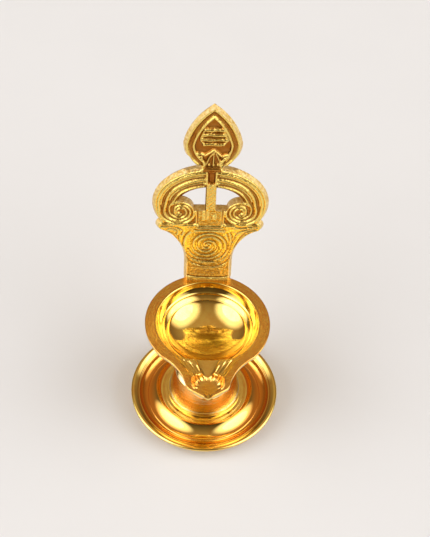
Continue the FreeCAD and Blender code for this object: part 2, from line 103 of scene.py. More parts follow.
class BowlSizes(bpy.types.PropertyGroup):
    flange_radius: length("Flange radius", "Radius of the flat flange", BOWL_HIGH[0])
    flange_height: length("Flange height", "Height of the flange's top above the ground", 0.0425)
    flange_thickness: length("Flange thickness", "Thickness of the flange", 0.0012)
    mouth_radius: length("Mouth radius", "Radius of the bowl's mouth", 0.0166)
    pan_radius: length("Pan radius", "Radius of the pan's inner line", 0.0148)
    pan_depth: length("Pan depth", "Depth of the pan's inner line", 0.0034)
    basin_radius: length("Basin radius", "Radius of the round basin's rim", 0.0133)
    basin_rim_depth: length("Basin rim depth", "Depth of the basin's rim", 0.005)
    depth: length("Bowl depth", "Depth of the basin's lowest point", 0.0095)
    line_width: length("Line width", "Width of the two raised lines turned in the bowl", 0.00044)
    line_height: length("Line height", "Height of those lines", 0.00010)
    wall: length("Wall", "Thickness of the bowl's wall", 0.0015)
    boss_radius: length("Boss radius", "Radius of the boss under the bowl", 0.005)
    spout_reach: length("Spout reach", "Distance from the axis to the spout's tip", -BOWL_LOW[1])
    trough_depth: length("Trough depth", "Depth of the spout's trough", 0.0024)
    pocket_radius: length("Pocket radius", "Half width of the wick pocket", 0.0052)
    pocket_depth: length("Pocket depth", "Depth of the wick pocket", 0.0036)
    pocket_reach: length("Pocket reach", "Distance from the axis to the pocket's middle", 0.0234)


class CrestSizes(bpy.types.PropertyGroup):
    foot_reach: length("Foot reach", "Distance from the axis to the front of the crest's foot", 0.018)
    thickness: length("Thickness", "Thickness of the cast plate", 0.0036)
    draft: length("Draft", "How far the plate's middle stands outside its faces", 0.0011)
    relief: length("Relief", "Depth of the ground between the raised lines", 0.0008)
    recess: length("Recess", "Depth of the leaf's sunk floor and of the slots", 0.0012)
    grain: length("Grain", "Grid size of the cast surface", 0.000205)
    lean: bpy.props.FloatProperty(name="Lean", description="Backward lean of the crest", default=math.radians(5),
                                  subtype="ANGLE", unit="ROTATION")


class Finishes(bpy.types.PropertyGroup):
    polished: colour("Polished brass", "Colour of the turned and polished pieces", (0.96, 0.70, 0.18))
    turned: colour("Turned brass", "Colour of the drum and the stem", (0.84, 0.66, 0.31))
    # The smudge colour also paints dark reflection on the saucer's channel, strongest at the left and right sides.
    smudge_and_dark_reflection: colour("Smudge", "Colour of the polished brass where it has dulled", (0.82, 0.30, 0.03))
    cast: colour("Cast brass", "Colour of the crest's high edges", (0.98, 0.74, 0.18))
    ground: colour("Cast ground", "Colour of the crest's recesses", (0.38, 0.125, 0.008))
    sandy: colour("Cast sides", "Colour of the crest's sandy sides and back", (0.74, 0.43, 0.085))
    # The palest grains are painted glints on the crest's sand-cast sides.
    painted_glint: colour("Pale cast sides", "Colour of the palest grains of those sides", (0.96, 0.74, 0.32))
    steel: colour("Steel", "Colour of the screw and the washer", (0.56, 0.55, 0.53))
    polish: amount("Polish", "Roughness of the polished brass", 0.02)
    satin: amount("Satin", "Roughness of the brass as it came from the lathe", 0.08)
    cast_roughness: amount("Cast roughness", "Roughness of the crest's high edges", 0.14)


class Studio(bpy.types.PropertyGroup):
    floor: colour("Floor", "Colour of the plain floor", (0.76, 0.75, 0.74))
    sky: amount("Sky", "Strength of the soft light from behind and from above", 0.48, 10.0)
    sky_front: amount("Front sky", "Strength of the soft light from the camera's side", 0.26, 10.0)
    horizon: amount("Horizon", "Share of the soft light that is left at the horizon", 0.12, 2.0)
    sky_tint: colour("Sky tint", "Tint of the soft light", (1.0, 0.73, 0.44))
    light_tint: colour("Light tint", "Tint of the two round lights", (0.88, 0.93, 1.0))
    glow: amount("Glow", "Strength of the soft glow round each light", 1.7, 10.0)
    light_width: length("Light width", "Width of the soft light on each side", 2.67)
    light_power: amount("Light power", "Power of each light in watts", 29.0, 100.0)


# ---------------------------------------------------------------- curves

def arc(start, middle, end, steps=8):
    """The points after the start on the arc through three points."""
    a, b, c = (complex(*point) for point in (start, middle, end))
    w = (c - a) / (b - a)
    centre = a + (b - a) * (w - abs(w) ** 2) / (2j * w.imag)
    turn = cmath.phase((c - centre) / (a - centre))
    half = cmath.phase((b - centre) / (a - centre))
    if turn * half < 0 or abs(half) > abs(turn):
        turn += math.copysign(math.tau, half)
    points = [centre + (a - centre) * cmath.exp(1j * turn * i / steps) for i in range(1, steps + 1)]
    return [(p.real, p.imag) for p in points]


def arcs(points, steps=8):
    """Arcs through a list of points, two points to each arc."""
    path = [points[0]]
    for i in range(1, len(points), 2):
        path += arc(points[i - 1], points[i], points[i + 1], steps)
    return path


def straight(start, end, steps):
    """The points after the start on a straight line."""
    return [tuple(a + (b - a) * i / steps for a, b in zip(start, end)) for i in range(1, steps + 1)]


def smooth(points, steps=8):
    """A smooth curve through a list of points."""
    ends = [points[0]] + list(points) + [points[-1]]
    path = []
    for p0, p1, p2, p3 in zip(ends, ends[1:], ends[2:], ends[3:]):
        for i in range(steps):
            t = i / steps
            path.append(tuple(0.5 * (2 * b + (c - a) * t + (2 * a - 5 * b + 4 * c - d) * t * t
                                     + (3 * b - a - 3 * c + d) * t ** 3) for a, b, c, d in zip(p0, p1, p2, p3)))
    return path + [tuple(points[-1])]


def mirrored(points):
    """The same points on the other side of the middle plane, in reverse order."""
    return [(-x, z) for x, z in reversed(points)]


def grown(points, distances):
    """A closed outline with each point moved out to its right by its own distance, corners mitred."""
    moved = []
    for i, ((x, z), distance) in enumerate(zip(points, distances)):
        before, after = points[i - 1], points[(i + 1) % len(points)]
        entering = math.atan2(z - before[1], x - before[0])
        leaving = math.atan2(after[1] - z, after[0] - x)
        half_turn = math.remainder(leaving - entering, math.tau) / 2
        heading, reach = entering + half_turn, distance / max(math.cos(half_turn), 0.5)
        moved.append((x + reach * math.sin(heading), z - reach * math.cos(heading)))
    return moved


# ---------------------------------------------------------------- modelling

def deselect():
    """Leave every object unselected before a new one is added."""
    bpy.ops.object.select_all(action="DESELECT")


def merge_doubles():
    """Merge the points of the edited piece that lie on one another."""
    bpy.ops.mesh.select_all(action="SELECT")
    bpy.ops.mesh.remove_doubles(threshold=MERGE)


def work(piece, kind, **settings):
    """Add a modifier to the active piece, set its options and apply it."""
    modifier = piece.modifiers.new(kind.lower(), kind)
    for key, value in settings.items():
        setattr(modifier, key, value)
    bpy.ops.object.modifier_apply(modifier=modifier.name)


def points_of(piece):
    """The piece's points in millimetres, one row each."""
    flat = np.empty(len(piece.data.vertices) * 3)
    piece.data.vertices.foreach_get("co", flat)
    return flat.reshape(-1, 3) / MM


def move_points(piece, points):
    """Put the piece's points at places in millimetres."""
    piece.data.vertices.foreach_set("co", (points * MM).ravel())
    piece.data.update()


def note(piece, **notes):
    """Note a number on each point of a piece, for its material to read."""
    for name, values in notes.items():
        piece.data.attributes.new(name, "FLOAT", "POINT").data.foreach_set("value", values)


def turned(name, profile, sides=160):
    """Spin a closed profile of (radius, height) points in millimetres about the lamp's axis."""
    deselect()
    r, h = profile[0]
    bpy.ops.mesh.primitive_plane_add(size=MM, location=(r * MM, 0, h * MM))
    bpy.ops.object.transform_apply(location=True)
    piece = bpy.context.object
    piece.name = piece.data.name = name
    bpy.ops.object.mode_set(mode="EDIT")
    bpy.ops.mesh.select_all(action="SELECT")
    bpy.ops.mesh.merge(type="CENTER")
    for (r0, h0), (r1, h1) in zip(profile, profile[1:] + profile[:1]):
        move = ((r1 - r0) * MM, 0, (h1 - h0) * MM)
        bpy.ops.mesh.extrude_region_move(TRANSFORM_OT_translate={"value": move})
    merge_doubles()
    bpy.ops.mesh.select_all(action="SELECT")
    bpy.ops.mesh.spin(steps=sides, angle=math.tau, center=(0, 0, 0), axis=(0, 0, 1))
    merge_doubles()
    bpy.ops.mesh.normals_make_consistent(inside=False)
    bpy.ops.object.mode_set(mode="OBJECT")
    return piece


def soften(piece, width=0.12, angle=28):
    """Round the sharp edges of a piece and shade it smooth."""
    work(piece, "BEVEL", width=width * MM, segments=3, limit_method="ANGLE", angle_limit=math.radians(angle))
    bpy.ops.object.mode_set(mode="EDIT")
    merge_doubles()
    bpy.ops.object.mode_set(mode="OBJECT")
    bpy.ops.object.shade_smooth()
    work(piece, "WEIGHTED_NORMAL", keep_sharp=True)


def finish(piece, slot, *nodes, look=""):
    """Let a finished piece ride with the lamp, stand for its nodes and take its material."""
    piece.data.materials.clear()
    piece.data.materials.append(finishes()[look or slot])
    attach(piece, "root")
    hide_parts(*nodes)


def stacked(name, outlines):
    """A closed shell through outlines of equal counts, each a list of (x, depth, z) points in millimetres."""
    deselect()
    bpy.ops.mesh.primitive_circle_add(vertices=len(outlines[0]), radius=MM, fill_type="NGON")
    piece = bpy.context.object
    piece.name = piece.data.name = name
    place(piece.data.vertices, outlines[0])
    for before, outline in zip(outlines, outlines[1:]):
        bpy.ops.object.mode_set(mode="EDIT")
        bpy.ops.mesh.select_all(action="DESELECT")
        bpy.ops.object.mode_set(mode="OBJECT")
        ring = len(piece.data.vertices) - len(outline)
        for face in piece.data.polygons:
            face.select = len(face.vertices) == len(outline) and min(face.vertices) >= ring
        bpy.ops.object.mode_set(mode="EDIT")
        bpy.ops.mesh.select_mode(type="FACE")
        bpy.ops.mesh.extrude_region_move(TRANSFORM_OT_translate={"value": (0, MM, 0)})
        bpy.ops.object.mode_set(mode="OBJECT")
        drawn = list(piece.data.vertices)[-len(outline):]
        place(drawn, [outline[nearest(vertex, before)] for vertex in drawn])
    bpy.ops.object.mode_set(mode="EDIT")
    bpy.ops.mesh.select_mode(type="VERT")
    bpy.ops.mesh.select_all(action="SELECT")
    bpy.ops.mesh.fill_holes(sides=0)
    bpy.ops.mesh.select_all(action="SELECT")
    bpy.ops.mesh.normals_make_consistent(inside=False)
    bpy.ops.object.mode_set(mode="OBJECT")
    return piece


def place(vertices, points):
    """Put vertices at points given in millimetres."""
    for vertex, point in zip(vertices, points):
        vertex.co = [value * MM for value in point]


def nearest(vertex, points):
    """The number of the (x, depth, z) point that a vertex stands behind."""
    x, _, z = vertex.co / MM
    return min(range(len(points)), key=lambda i: (points[i][0] - x) ** 2 + (points[i][2] - z) ** 2)


def at_depth(outline, depth):
    """A flat (x, z) outline set at a depth below the crest's front."""
    return [(x, depth, z) for x, z in outline]


def cut_away(piece, cutter):
    """Cut one piece with another, which is then deleted."""
    deselect()
    bpy.context.view_layer.objects.active = piece
    piece.select_set(True)
    work(piece, "BOOLEAN", operation="DIFFERENCE", solver="MANIFOLD", object=cutter)
    bpy.data.objects.remove(cutter)


# ---------------------------------------------------------------- materials

# How many grains, rings or strokes of each pattern go to a metre.
LATHE_RINGS, SCRATCHES, FILE_STROKES = 5200.0, 2600.0, 1500.0
SMUDGES, SPECKS, STEEL_GRAIN = 230.0, 2100.0, 900.0
CAST_GRAIN, CAST_PATCHES = 1050.0, 420.0
FLOOR_MOTTLE = 30.0

# Scratches round one turn, the file's two directions on the spout's right-hand flank, and the sand's depth in metres.
SCRATCH_TURNS = 9.0
FLANK_ACROSS, FLANK_DOWN = (0.83, -0.56, 0.0), (0.56, 0.83, 0.0)
CAST_BUMP = 0.0004


def new_material(name):
    """An empty node material with its shader and output."""
    material = bpy.data.materials.new(name)
    material.use_nodes = True
    nodes = material.node_tree.nodes
    nodes.clear()
    shader = nodes.new("ShaderNodeBsdfPrincipled")
    output = nodes.new("ShaderNodeOutputMaterial")
    material.node_tree.links.new(shader.outputs[0], output.inputs[0])
    return material, shader


def fill(owner, node, inputs):
    """Fill a node's inputs with values or with other nodes' outputs."""
    for key, value in dict(inputs).items():
        if isinstance(value, bpy.types.NodeSocket):
            owner.node_tree.links.new(value, node.inputs[key])
        else:
            node.inputs[key].default_value = value


def add(owner, kind, inputs=(), **settings):
    """Add a node to a material or to the world, set its options and fill its inputs."""
    node = owner.node_tree.nodes.new("ShaderNode" + kind)
    for key, value in settings.items():
        setattr(node, key, value)
    fill(owner, node, inputs)
    return node


def reckon(owner, operation, first, second=0.0, **settings):
    """The sum, product or other result of two numbers."""
    return add(owner, "Math", {0: first, 1: second}, operation=operation, **settings).outputs[0]


def reckon_vector(owner, operation, inputs):
    """The result of a step on vectors: a number for a length or a dot product, else a vector."""
    number = operation in ("LENGTH", "DOT_PRODUCT")
    return add(owner, "VectorMath", inputs, operation=operation).outputs["Value" if number else "Vector"]


def spread(owner, value, low, high, start=0.0, end=1.0):
    """Map the range from start to end, 0 to 1 if it isn't given, onto the one from low to high."""
    return add(owner, "MapRange", {"Value": value, "From Min": start, "From Max": end, "To Min": low,
                                   "To Max": high}).outputs["Result"]


def noise(owner, where, scale, detail, roughness=0.5):
    """Even noise, its scale in grains to the metre."""
    return add(owner, "TexNoise", {"Vector": where, "Scale": scale, "Detail": detail,
                                   "Roughness": roughness}).outputs[0]


def place_on_piece(material):
    """The place in the piece's own frame."""
    return add(material, "TexCoord").outputs["Object"]


def noted(material, name):
    """What was noted on the piece's points under a name."""
    return add(material, "Attribute", attribute_name=name).outputs["Fac"]


def blend_colours(material, factor, first, second):
    """Mix two colours, or two nodes' colours, by a factor."""
    ends = [end if isinstance(end, bpy.types.NodeSocket) else (*end, 1.0) for end in (first, second)]
    return add(material, "Mix", {0: factor, 6: ends[0], 7: ends[1]}, data_type="RGBA").outputs[2]


def bump(material, height, distance):
    """The surface's direction where it follows a height."""
    return add(material, "Bump", {"Strength": 1.0, "Distance": distance, "Height": height}).outputs[0]


def turning_lines(material, where):
    """Fine rings left by the lathe and short scratches along them, alike on flat and on upright faces."""
    parts = add(material, "SeparateXYZ", {0: where}).outputs
    flat = add(material, "CombineXYZ", {0: parts[0], 1: parts[1]}).outputs[0]
    along = reckon(material, "ADD", reckon_vector(material, "LENGTH", {0: flat}), parts[2])
    rings = add(material, "TexNoise", {"W": along, "Scale": LATHE_RINGS, "Detail": 3.0, "Roughness": 0.7},
                noise_dimensions="1D").outputs[0]
    heading = reckon_vector(material, "NORMALIZE", {0: flat})
    round_turn = reckon_vector(material, "SCALE", {0: heading, "Scale": SCRATCH_TURNS})
    across = add(material, "CombineXYZ", {2: reckon(material, "MULTIPLY", along, SCRATCHES)}).outputs[0]
    spot = reckon_vector(material, "ADD", {0: round_turn, 1: across})
    return rings, noise(material, spot, 1.0, 4.0, 0.7)


def file_strokes(material, where):
    """Strokes of the file along the spout's two flanks, nothing elsewhere."""
    parts = add(material, "SeparateXYZ", {0: where}).outputs
    both = add(material, "CombineXYZ", {0: reckon(material, "ABSOLUTE", parts[0]), 1: parts[1]}).outputs[0]
    over = reckon_vector(material, "DOT_PRODUCT", {0: both, 1: FLANK_ACROSS})
    down = reckon_vector(material, "DOT_PRODUCT", {0: both, 1: FLANK_DOWN})
    stretched = add(material, "CombineXYZ", {0: over, 1: spread(material, down, 0.0, 0.1)}).outputs[0]
    strokes = noise(material, stretched, FILE_STROKES, 3.0)
    return reckon(material, "MULTIPLY", strokes, spread(material, noted(material, "filed"), 0.0, 36.0))


def turned_brass(name, looks, tint, polish, dull, lines):
    """Turned brass with turning lines, dull smudges, painted dark reflection where the piece notes it and, where it was
    worked by hand, a warmer scratched face.
    """
    material, shader = new_material(name)
    where = place_on_piece(material)
    worked, tarnish = noted(material, "worked"), noted(material, "tarnish")
    rings, scratches = turning_lines(material, where)
    patches = spread(material, noise(material, where, SMUDGES, 5.0, 0.65), 0.0, 1.0, 0.38, 0.72)
    streaks = spread(material, scratches, 0.0, 1.0, 0.35, 0.65)
    handled = reckon(material, "MULTIPLY", worked, spread(material, streaks, 0.1, 1.0))
    # Where the saucer notes it, the smudge colour is painted dark reflection.
    handled_and_dark_reflection = reckon(material, "MAXIMUM", handled, tarnish)
    dulling_and_dark_reflection = reckon(material, "MAXIMUM", spread(material, patches, 0.0, 0.45), handled_and_dark_reflection)
    hand = reckon(material, "MULTIPLY", worked, spread(material, streaks, 0.10, 0.24))
    worn = reckon(material, "ADD", spread(material, patches, polish, polish + dull), hand)
    scored = reckon(material, "MULTIPLY", rings, spread(material, tarnish, 1.0, 6.0))
    lathe = reckon(material, "ADD", scored, noise(material, where, SPECKS, 2.0))
    marks = reckon(material, "MULTIPLY", scratches, spread(material, worked, 0.3, 12.0))
    height = reckon(material, "ADD", reckon(material, "ADD", lathe, marks), file_strokes(material, where))
    fill(material, shader, {
        "Base Color": blend_colours(material, dulling_and_dark_reflection, tint, looks.smudge_and_dark_reflection),
        "Roughness": reckon(material, "ADD", worn, spread(material, rings, -0.3 * dull, 0.5 * dull)),
        "Normal": bump(material, height, lines), "Metallic": 1.0, "Coat Weight": 0.4, "Coat Roughness": 0.04})


def polished_brass(name, looks):
    """Buffed, mirror-bright brass."""
    turned_brass(name, looks, looks.polished, looks.polish, 0.04, 2.5e-6)


def satin_brass(name, looks):
    """Brass left as it came from the lathe, with plain turning lines."""
    turned_brass(name, looks, looks.turned, looks.satin, 0.12, 2.5e-5)


def cast_brass(name, looks):
    """Cast brass, rubbed bright on the high lines, dark in the recesses and sand-cast on the sides, with painted glints
    on the sides' grains and painted light on the front's foot.
    """
    material, shader = new_material(name)
    where = place_on_piece(material)
    sunk, sandy = noted(material, "sunk"), noted(material, "sandy")
    grain = noise(material, where, CAST_GRAIN, 3.0, 0.6)
    patches = spread(material, noise(material, where, CAST_PATCHES, 3.0), -0.2, 0.2)
    front = blend_colours(material, reckon(material, "ADD", patches, sunk, use_clamp=True), looks.cast, looks.ground)
    # The pale grains follow the bump's grain and are painted glints.
    skin_with_painted_glints = blend_colours(material, spread(material, grain, 0.0, 1.0, 0.38, 0.68), looks.sandy, looks.painted_glint)
    rubbed = spread(material, sunk, looks.cast_roughness, looks.cast_roughness + 0.14)
    depth = reckon(material, "MULTIPLY", grain, spread(material, sandy, 0.5, 1.6))
    fill(material, shader, {
        "Base Color": blend_colours(material, sandy, front, skin_with_painted_glints),
        "Roughness": reckon(material, "ADD", rubbed, spread(material, sandy, 0.0, 0.22)),
        "Normal": bump(material, depth, CAST_BUMP), "Metallic": spread(material, sandy, 1.0, 0.65),
        "Coat Weight": 0.15, "Coat Roughness": 0.1})


def fastener_steel(name, looks):
    """Plain plated steel with a light grain."""
    material, shader = new_material(name)
    grain = noise(material, place_on_piece(material), STEEL_GRAIN, 2.0)
    dark = [value * 0.8 for value in looks.steel]
    fill(material, shader, {"Base Color": blend_colours(material, grain, looks.steel, dark),
                            "Roughness": spread(material, grain, 0.28, 0.42), "Metallic": 1.0})


def floor_paint(studio):
    """Matt pale paint with a faint mottle."""
    material, shader = new_material("studio_floor")
    mottle = noise(material, place_on_piece(material), FLOOR_MOTTLE, 5.0)
    darker = [value * 0.97 for value in studio.floor]
    fill(material, shader, {"Base Color": blend_colours(material, mottle, studio.floor, darker), "Roughness": 1.0,
                            "Specular IOR Level": 0.1})
    return material


def finishes():
    """The lamp's materials by slot, made on first use."""
    looks = bpy.context.scene.lamp_finishes
    makers = {"polished_brass": ("buffed_brass", polished_brass), "satin_brass": ("lathe_satin_brass", satin_brass),
              "cast_brass": ("rubbed_cast_brass", cast_brass), "steel_fastener": ("plated_steel", fastener_steel)}
    for name, maker in makers.values():
        if name not in bpy.data.materials:
            maker(name, looks)
    return {slot: bpy.data.materials[name] for slot, (name, _) in makers.items()}


# ---------------------------------------------------------------- saucer, drum and stem

# In millimetres: the screw hole's radius, the saucer's foot ring, the walls, the collars at the stem's two ends, the
# radius of its upper end and half the knop's height.
SCREW_HOLE = 1.65
FOOT_RING_OUTSIDE, FOOT_RING_INSIDE, FOOT_RING_HEIGHT = 20.4, 17.8, 1.1
SAUCER_WALL, SEAT_WALL, DRUM_WALL, CROWN_WALL = 1.3, 1.6, 1.5, 1.8
STEM_COLLAR, STEM_TOP, KNOP_HALF = 0.7, 5.0, 1.1


class LAMP_OT_saucer(bpy.types.Operator):
    """Turn the drip saucer"""
    bl_idname = "lamp.saucer"
    bl_label = "Drip saucer"

    def execute(self, context):
        s = context.scene.lamp_saucer
        radius, lip, width = s.radius / MM, s.lip_height / MM, s.lip_width / MM
        band, channel, floor = s.band_radius / MM, s.channel_radius / MM, s.channel_height / MM
        step, step_top, seat, seat_top = s.step_radius / MM, s.step_height / MM, s.seat_radius / MM, s.seat_height / MM
        band_top, step_edge, wall = lip - width, step_top - 0.6, SAUCER_WALL
        groove_in, groove_out, groove_low = step - 1.25, step - 0.75, step_top - 0.25
        line_in, line_out, line_low = band + 0.25, band + 0.75, band_top + 0.1
        profile = [(SCREW_HOLE, seat_top), (seat, seat_top), (seat, step_top), (groove_in, step_top),
                   (groove_in + 0.1, groove_low), (groove_out - 0.1, groove_low), (groove_out, step_top),
                   (step, step_top), (step, step_edge)]
        profile += arc(profile[-1], ((channel + step) / 2, floor + wall / 2), (channel, floor), 12)[:-1]
        r, z = profile.pop()
        profile += [(r - 0.12, z + 0.03), (r, z + 0.1), (r + 0.15, z + 0.08), (r + 0.3, floor), (channel, floor)]
        profile += arc(profile[-1], ((channel + band) / 2, floor + wall / 3), (band, band_top), 8)
        profile += [(line_in, band_top + 0.17), (line_in + 0.1, line_low), (line_out - 0.1, line_low + 0.2),
                    (line_out, band_top + 0.5), (radius - width, lip)]
        profile += arc(profile[-1], (radius - width / 2 + 0.1, lip + 0.02), (radius - 0.15, lip - 0.15), 4)
        profile += [(radius, lip - 0.35), (radius, lip - 0.9), (band + wall, band_top - wall),
                    (FOOT_RING_OUTSIDE, FOOT_RING_HEIGHT), (FOOT_RING_OUTSIDE, 0.0), (FOOT_RING_INSIDE, 0.0),
                    (FOOT_RING_INSIDE, FOOT_RING_HEIGHT), (step - wall, step_edge - wall),
                    (seat - wall, seat_top - SEAT_WALL), (SCREW_HOLE, seat_top - SEAT_WALL)]
        saucer = turned("drip_saucer", profile, 200)
        soften(saucer)
        # Painted dark reflection on the saucer's channel, strongest at the left and right sides. The material paints it
        # in the smudge colour and deepens the lathe rings there.
        x, y, _ = points_of(saucer).T
        off_floor = np.abs(np.hypot(x, y) - channel)
        to_the_side = np.abs(np.sin(np.arctan2(x, y)))
        note(saucer, tarnish=np.clip(1.4 - off_floor / (1.3 * (band - channel)), 0, 1) * (0.3 + 0.7 * to_the_side))
        finish(saucer, "polished_brass", "base_saucer")
        return {"FINISHED"}


class LAMP_OT_foot(bpy.types.Operator):
    """Turn the drum foot and the knopped stem"""
    bl_idname = "lamp.foot"
    bl_label = "Drum foot and stem"

    def execute(self, context):
        f = context.scene.lamp_foot
        low, top = DRUM_LOW[2] / MM, STEM_LOW[2] / MM
        ring, ring_top, drum = f.ring_radius / MM, low + f.ring_height / MM, f.drum_radius / MM
        shoulder, shoulder_height, stem = f.shoulder_radius / MM, top - f.crown_height / MM, f.stem_radius / MM
        profile = [(drum - DRUM_WALL, low), (ring, low), (ring, ring_top), (drum, ring_top)]
        profile += straight(profile[-1], (shoulder, shoulder_height), 6)
        profile += arc(profile[-1], ((shoulder + stem) / 2 + 0.7, (shoulder_height + top) / 2 + 0.35), (stem, top), 8)
        profile += [(SCREW_HOLE, top), (SCREW_HOLE, top - CROWN_WALL), (stem, top - CROWN_WALL),
                    (shoulder - DRUM_WALL, shoulder_height - CROWN_WALL)]
        foot = turned("drum_foot", profile)
        soften(foot)
        finish(foot, "polished_brass", "foot_drum", look="satin_brass")

        high = STEM_HIGH[2] / MM
        waist, knop, middle = f.waist_radius / MM, f.knop_radius / MM, (top + high) / 2
        profile = [(SCREW_HOLE, top), (stem, top), (stem, top + STEM_COLLAR), (waist, middle - KNOP_HALF)]
        profile += arc(profile[-1], (knop, middle), (waist, middle + KNOP_HALF), 14)
        profile += [(STEM_TOP, high - STEM_COLLAR), (STEM_TOP, high), (SCREW_HOLE, high)]
        knopped = turned("knopped_stem", profile, 120)
        soften(knopped)
        finish(knopped, "polished_brass", "stem_knop", look="satin_brass")
        return {"FINISHED"}


# ---------------------------------------------------------------- bowl

# Everything in millimetres. The spout's flanks and its channel have a half width at the root, and how much of it they
# lose, from what distance to the axis on and over what length.
SPOUT_EDGE = [(14.8, -13.895), (8.8, -20.1), (7.1, -24.0), (6.825, -25.25), (6.0, -26.5)]
SPOUT_START, SPOUT_HALF, SPOUT_WALL = 9.0, 15.0, 1.3
FLANK_ROOT, FLANK_LOSS, FLANK_START, FLANK_LENGTH = 12.6, 7.6, 10.8, 11.2
CHANNEL_ROOT, CHANNEL_LOSS, CHANNEL_START, CHANNEL_LENGTH = 4.2, 3.0, 14.4, 6.4
CHANNEL_EDGE, CHANNEL_EDGE_HALF, CHANNEL_END = 0.28, 0.42, 26.0
KEEL_END, KEEL_RISE = 22.6, 1.2
POCKET_SQUEEZE, POCKET_FLUTE, POCKET_EDGE, POCKET_EDGE_HALF, POCKET_END = 0.88, 0.13, 0.22, 0.45, 27.3
LIP_PULL, LIP_EDGE, LIP_EDGE_HALF = 2.2, 0.26, 0.4
FAR_ABOVE = 5.0
FLANGE_EDGE = 0.28
LUG_HALF, LUG_ROOT, LUG_THICKNESS, LUG_GAP = 7.7, 19.6, 2.6, 0.01


def spout_outline(reach):
    """The flange's right-hand edge from the tip of the spout to the back, as angles from the tip and radii."""
    edge = arcs(SPOUT_EDGE, 14) + straight(SPOUT_EDGE[-1], (0.0, -reach), 20)
    polar = [(math.atan2(x, -y), math.hypot(x, y)) for x, y in edge]
    return sorted(polar)


def soft_least(a, b, blend):
    """The lower of two heights, rounded where they meet."""
    share = np.clip(0.5 + 0.5 * (b - a) / blend, 0, 1)
    return b * (1 - share) + a * share - blend * share * (1 - share)


def spout_widths(y, grow=0.0):
    """Half widths of the spout's sloping flanks and of its channel."""
    flank = FLANK_ROOT + grow - FLANK_LOSS * np.clip((-y - FLANK_START) / FLANK_LENGTH, -0.3, 1.15)
    channel = CHANNEL_ROOT + grow - CHANNEL_LOSS * np.clip((-y - CHANNEL_START) / CHANNEL_LENGTH, -0.5, 1.0)
    return flank, channel


def spout_hollow(x, y, depth):
    """Height over the flange of the spout's inside: flanks that slope down to a narrow channel with raised edges."""
    flank, channel = spout_widths(y)
    along = ramp(-y, SPOUT_START, SPOUT_START + 3.0) * ramp(CHANNEL_END + y, 0.0, 2.5)
    ridge = depth * (0.45 + 0.5 * np.clip((-y - CHANNEL_START) / 6.2, -0.3, 1.0)) * along
    slope = np.clip((flank - np.abs(x)) / (flank - channel), 0, 1) ** 0.8
    groove = 0.42 * depth * (1 - np.clip(np.abs(x) / channel, 0, 1) ** 2)
    bead = CHANNEL_EDGE * np.clip(1 - ((np.abs(x) - channel) / CHANNEL_EDGE_HALF) ** 2, 0, 1) * along
    over = FLANK_ACROSS[0] * np.abs(x) + FLANK_ACROSS[1] * y
    strokes = 0.09 * np.cos(5.3 * over) + 0.055 * np.cos(9.1 * over + 0.4 * y + np.sign(x))
    cut = strokes * np.clip(5 * slope, 0, 1) * np.clip(5 * (1 - slope), 0, 1) * (ridge > 0.2)
    return np.where(np.abs(x) < channel, -ridge - groove, -ridge * slope + cut) + bead


def spout_keel(x, y, depth, wall):
    """Height under the flange of the spout's outside."""
    flank, channel = spout_widths(y, wall)
    climb = (np.abs(x) - channel) / np.maximum(flank - channel, 0.3)
    end = (-y - KEEL_END - wall) / KEEL_RISE
    return (depth + wall) * (np.clip(np.maximum(climb, end), 0, 1) - 1)


def wick_pocket(x, y, half, depth, reach, grow=0.0):
    """Height over the flange of the wick pocket, with flutes round its wall, and far above it outside."""
    across = np.sqrt((x / (half + grow)) ** 2 + ((y + reach) / (POCKET_SQUEEZE * half + grow)) ** 2)
    bowl = -(depth + grow) * np.sqrt(np.clip(1 - across ** 5, 0, 1)) ** 1.2
    around = np.arctan2(x, -y - reach)
    waves = np.cos(17 * around + 1.9 * np.sin(3 * around)) + 0.7 * np.cos(29 * around + 1.3 * np.sin(5 * around + 1))
    flutes = POCKET_FLUTE * waves * np.clip(2.4 * across - 0.9, 0, 1) * (across < 1)
    return np.where(across < 1, bowl + (flutes if grow == 0 else 0), FAR_ABOVE)


def pocket_rim(x, y, half, reach):
    """Height of the raised edge round the wick pocket, open where the channel comes in."""
    across = np.hypot(x / half, (y + reach) / (POCKET_SQUEEZE * half)) - 1
    open_back = 1 - ramp(1.7 - np.abs(x), 0.0, 0.6) * (y > -reach)
    edge = POCKET_EDGE * np.clip(1 - (across * half / POCKET_EDGE_HALF) ** 2, 0, 1)
    return edge * open_back * ramp(POCKET_END + y, 0.0, 1.2)


def bowl_inside(b):
    """The inside of the bowl from its lowest point to its mouth, one smooth sweep with two turned lines."""
    rim, low, pan = -b.basin_rim_depth / MM, -b.depth / MM, -b.pan_depth / MM
    basin, line, mouth = b.basin_radius / MM, b.pan_radius / MM, b.mouth_radius / MM
    flat = 0.655 * (rim - low)
    floor = [(basin * i / 26, low + flat * (i / 26) ** 2 + (rim - low - flat) * (i / 26) ** 4) for i in range(25)]
    wall = smooth([(basin - 0.2, rim - 0.17), (basin + 0.55 * (line - basin), 0.47 * pan + 0.53 * rim), (line, pan),
                   (0.42 * line + 0.58 * mouth, 0.51 * pan), (mouth - 0.15, -0.35)], 9)
    width, height = b.line_width / MM / 2, b.line_height / MM
    lined = []
    for r, z in wall:
        near = max(0.0, 1 - (min(abs(r - basin), abs(r - line)) / width) ** 2)
        lined.append((r - 0.7 * height * near, z + 0.7 * height * near))
    return floor + lined


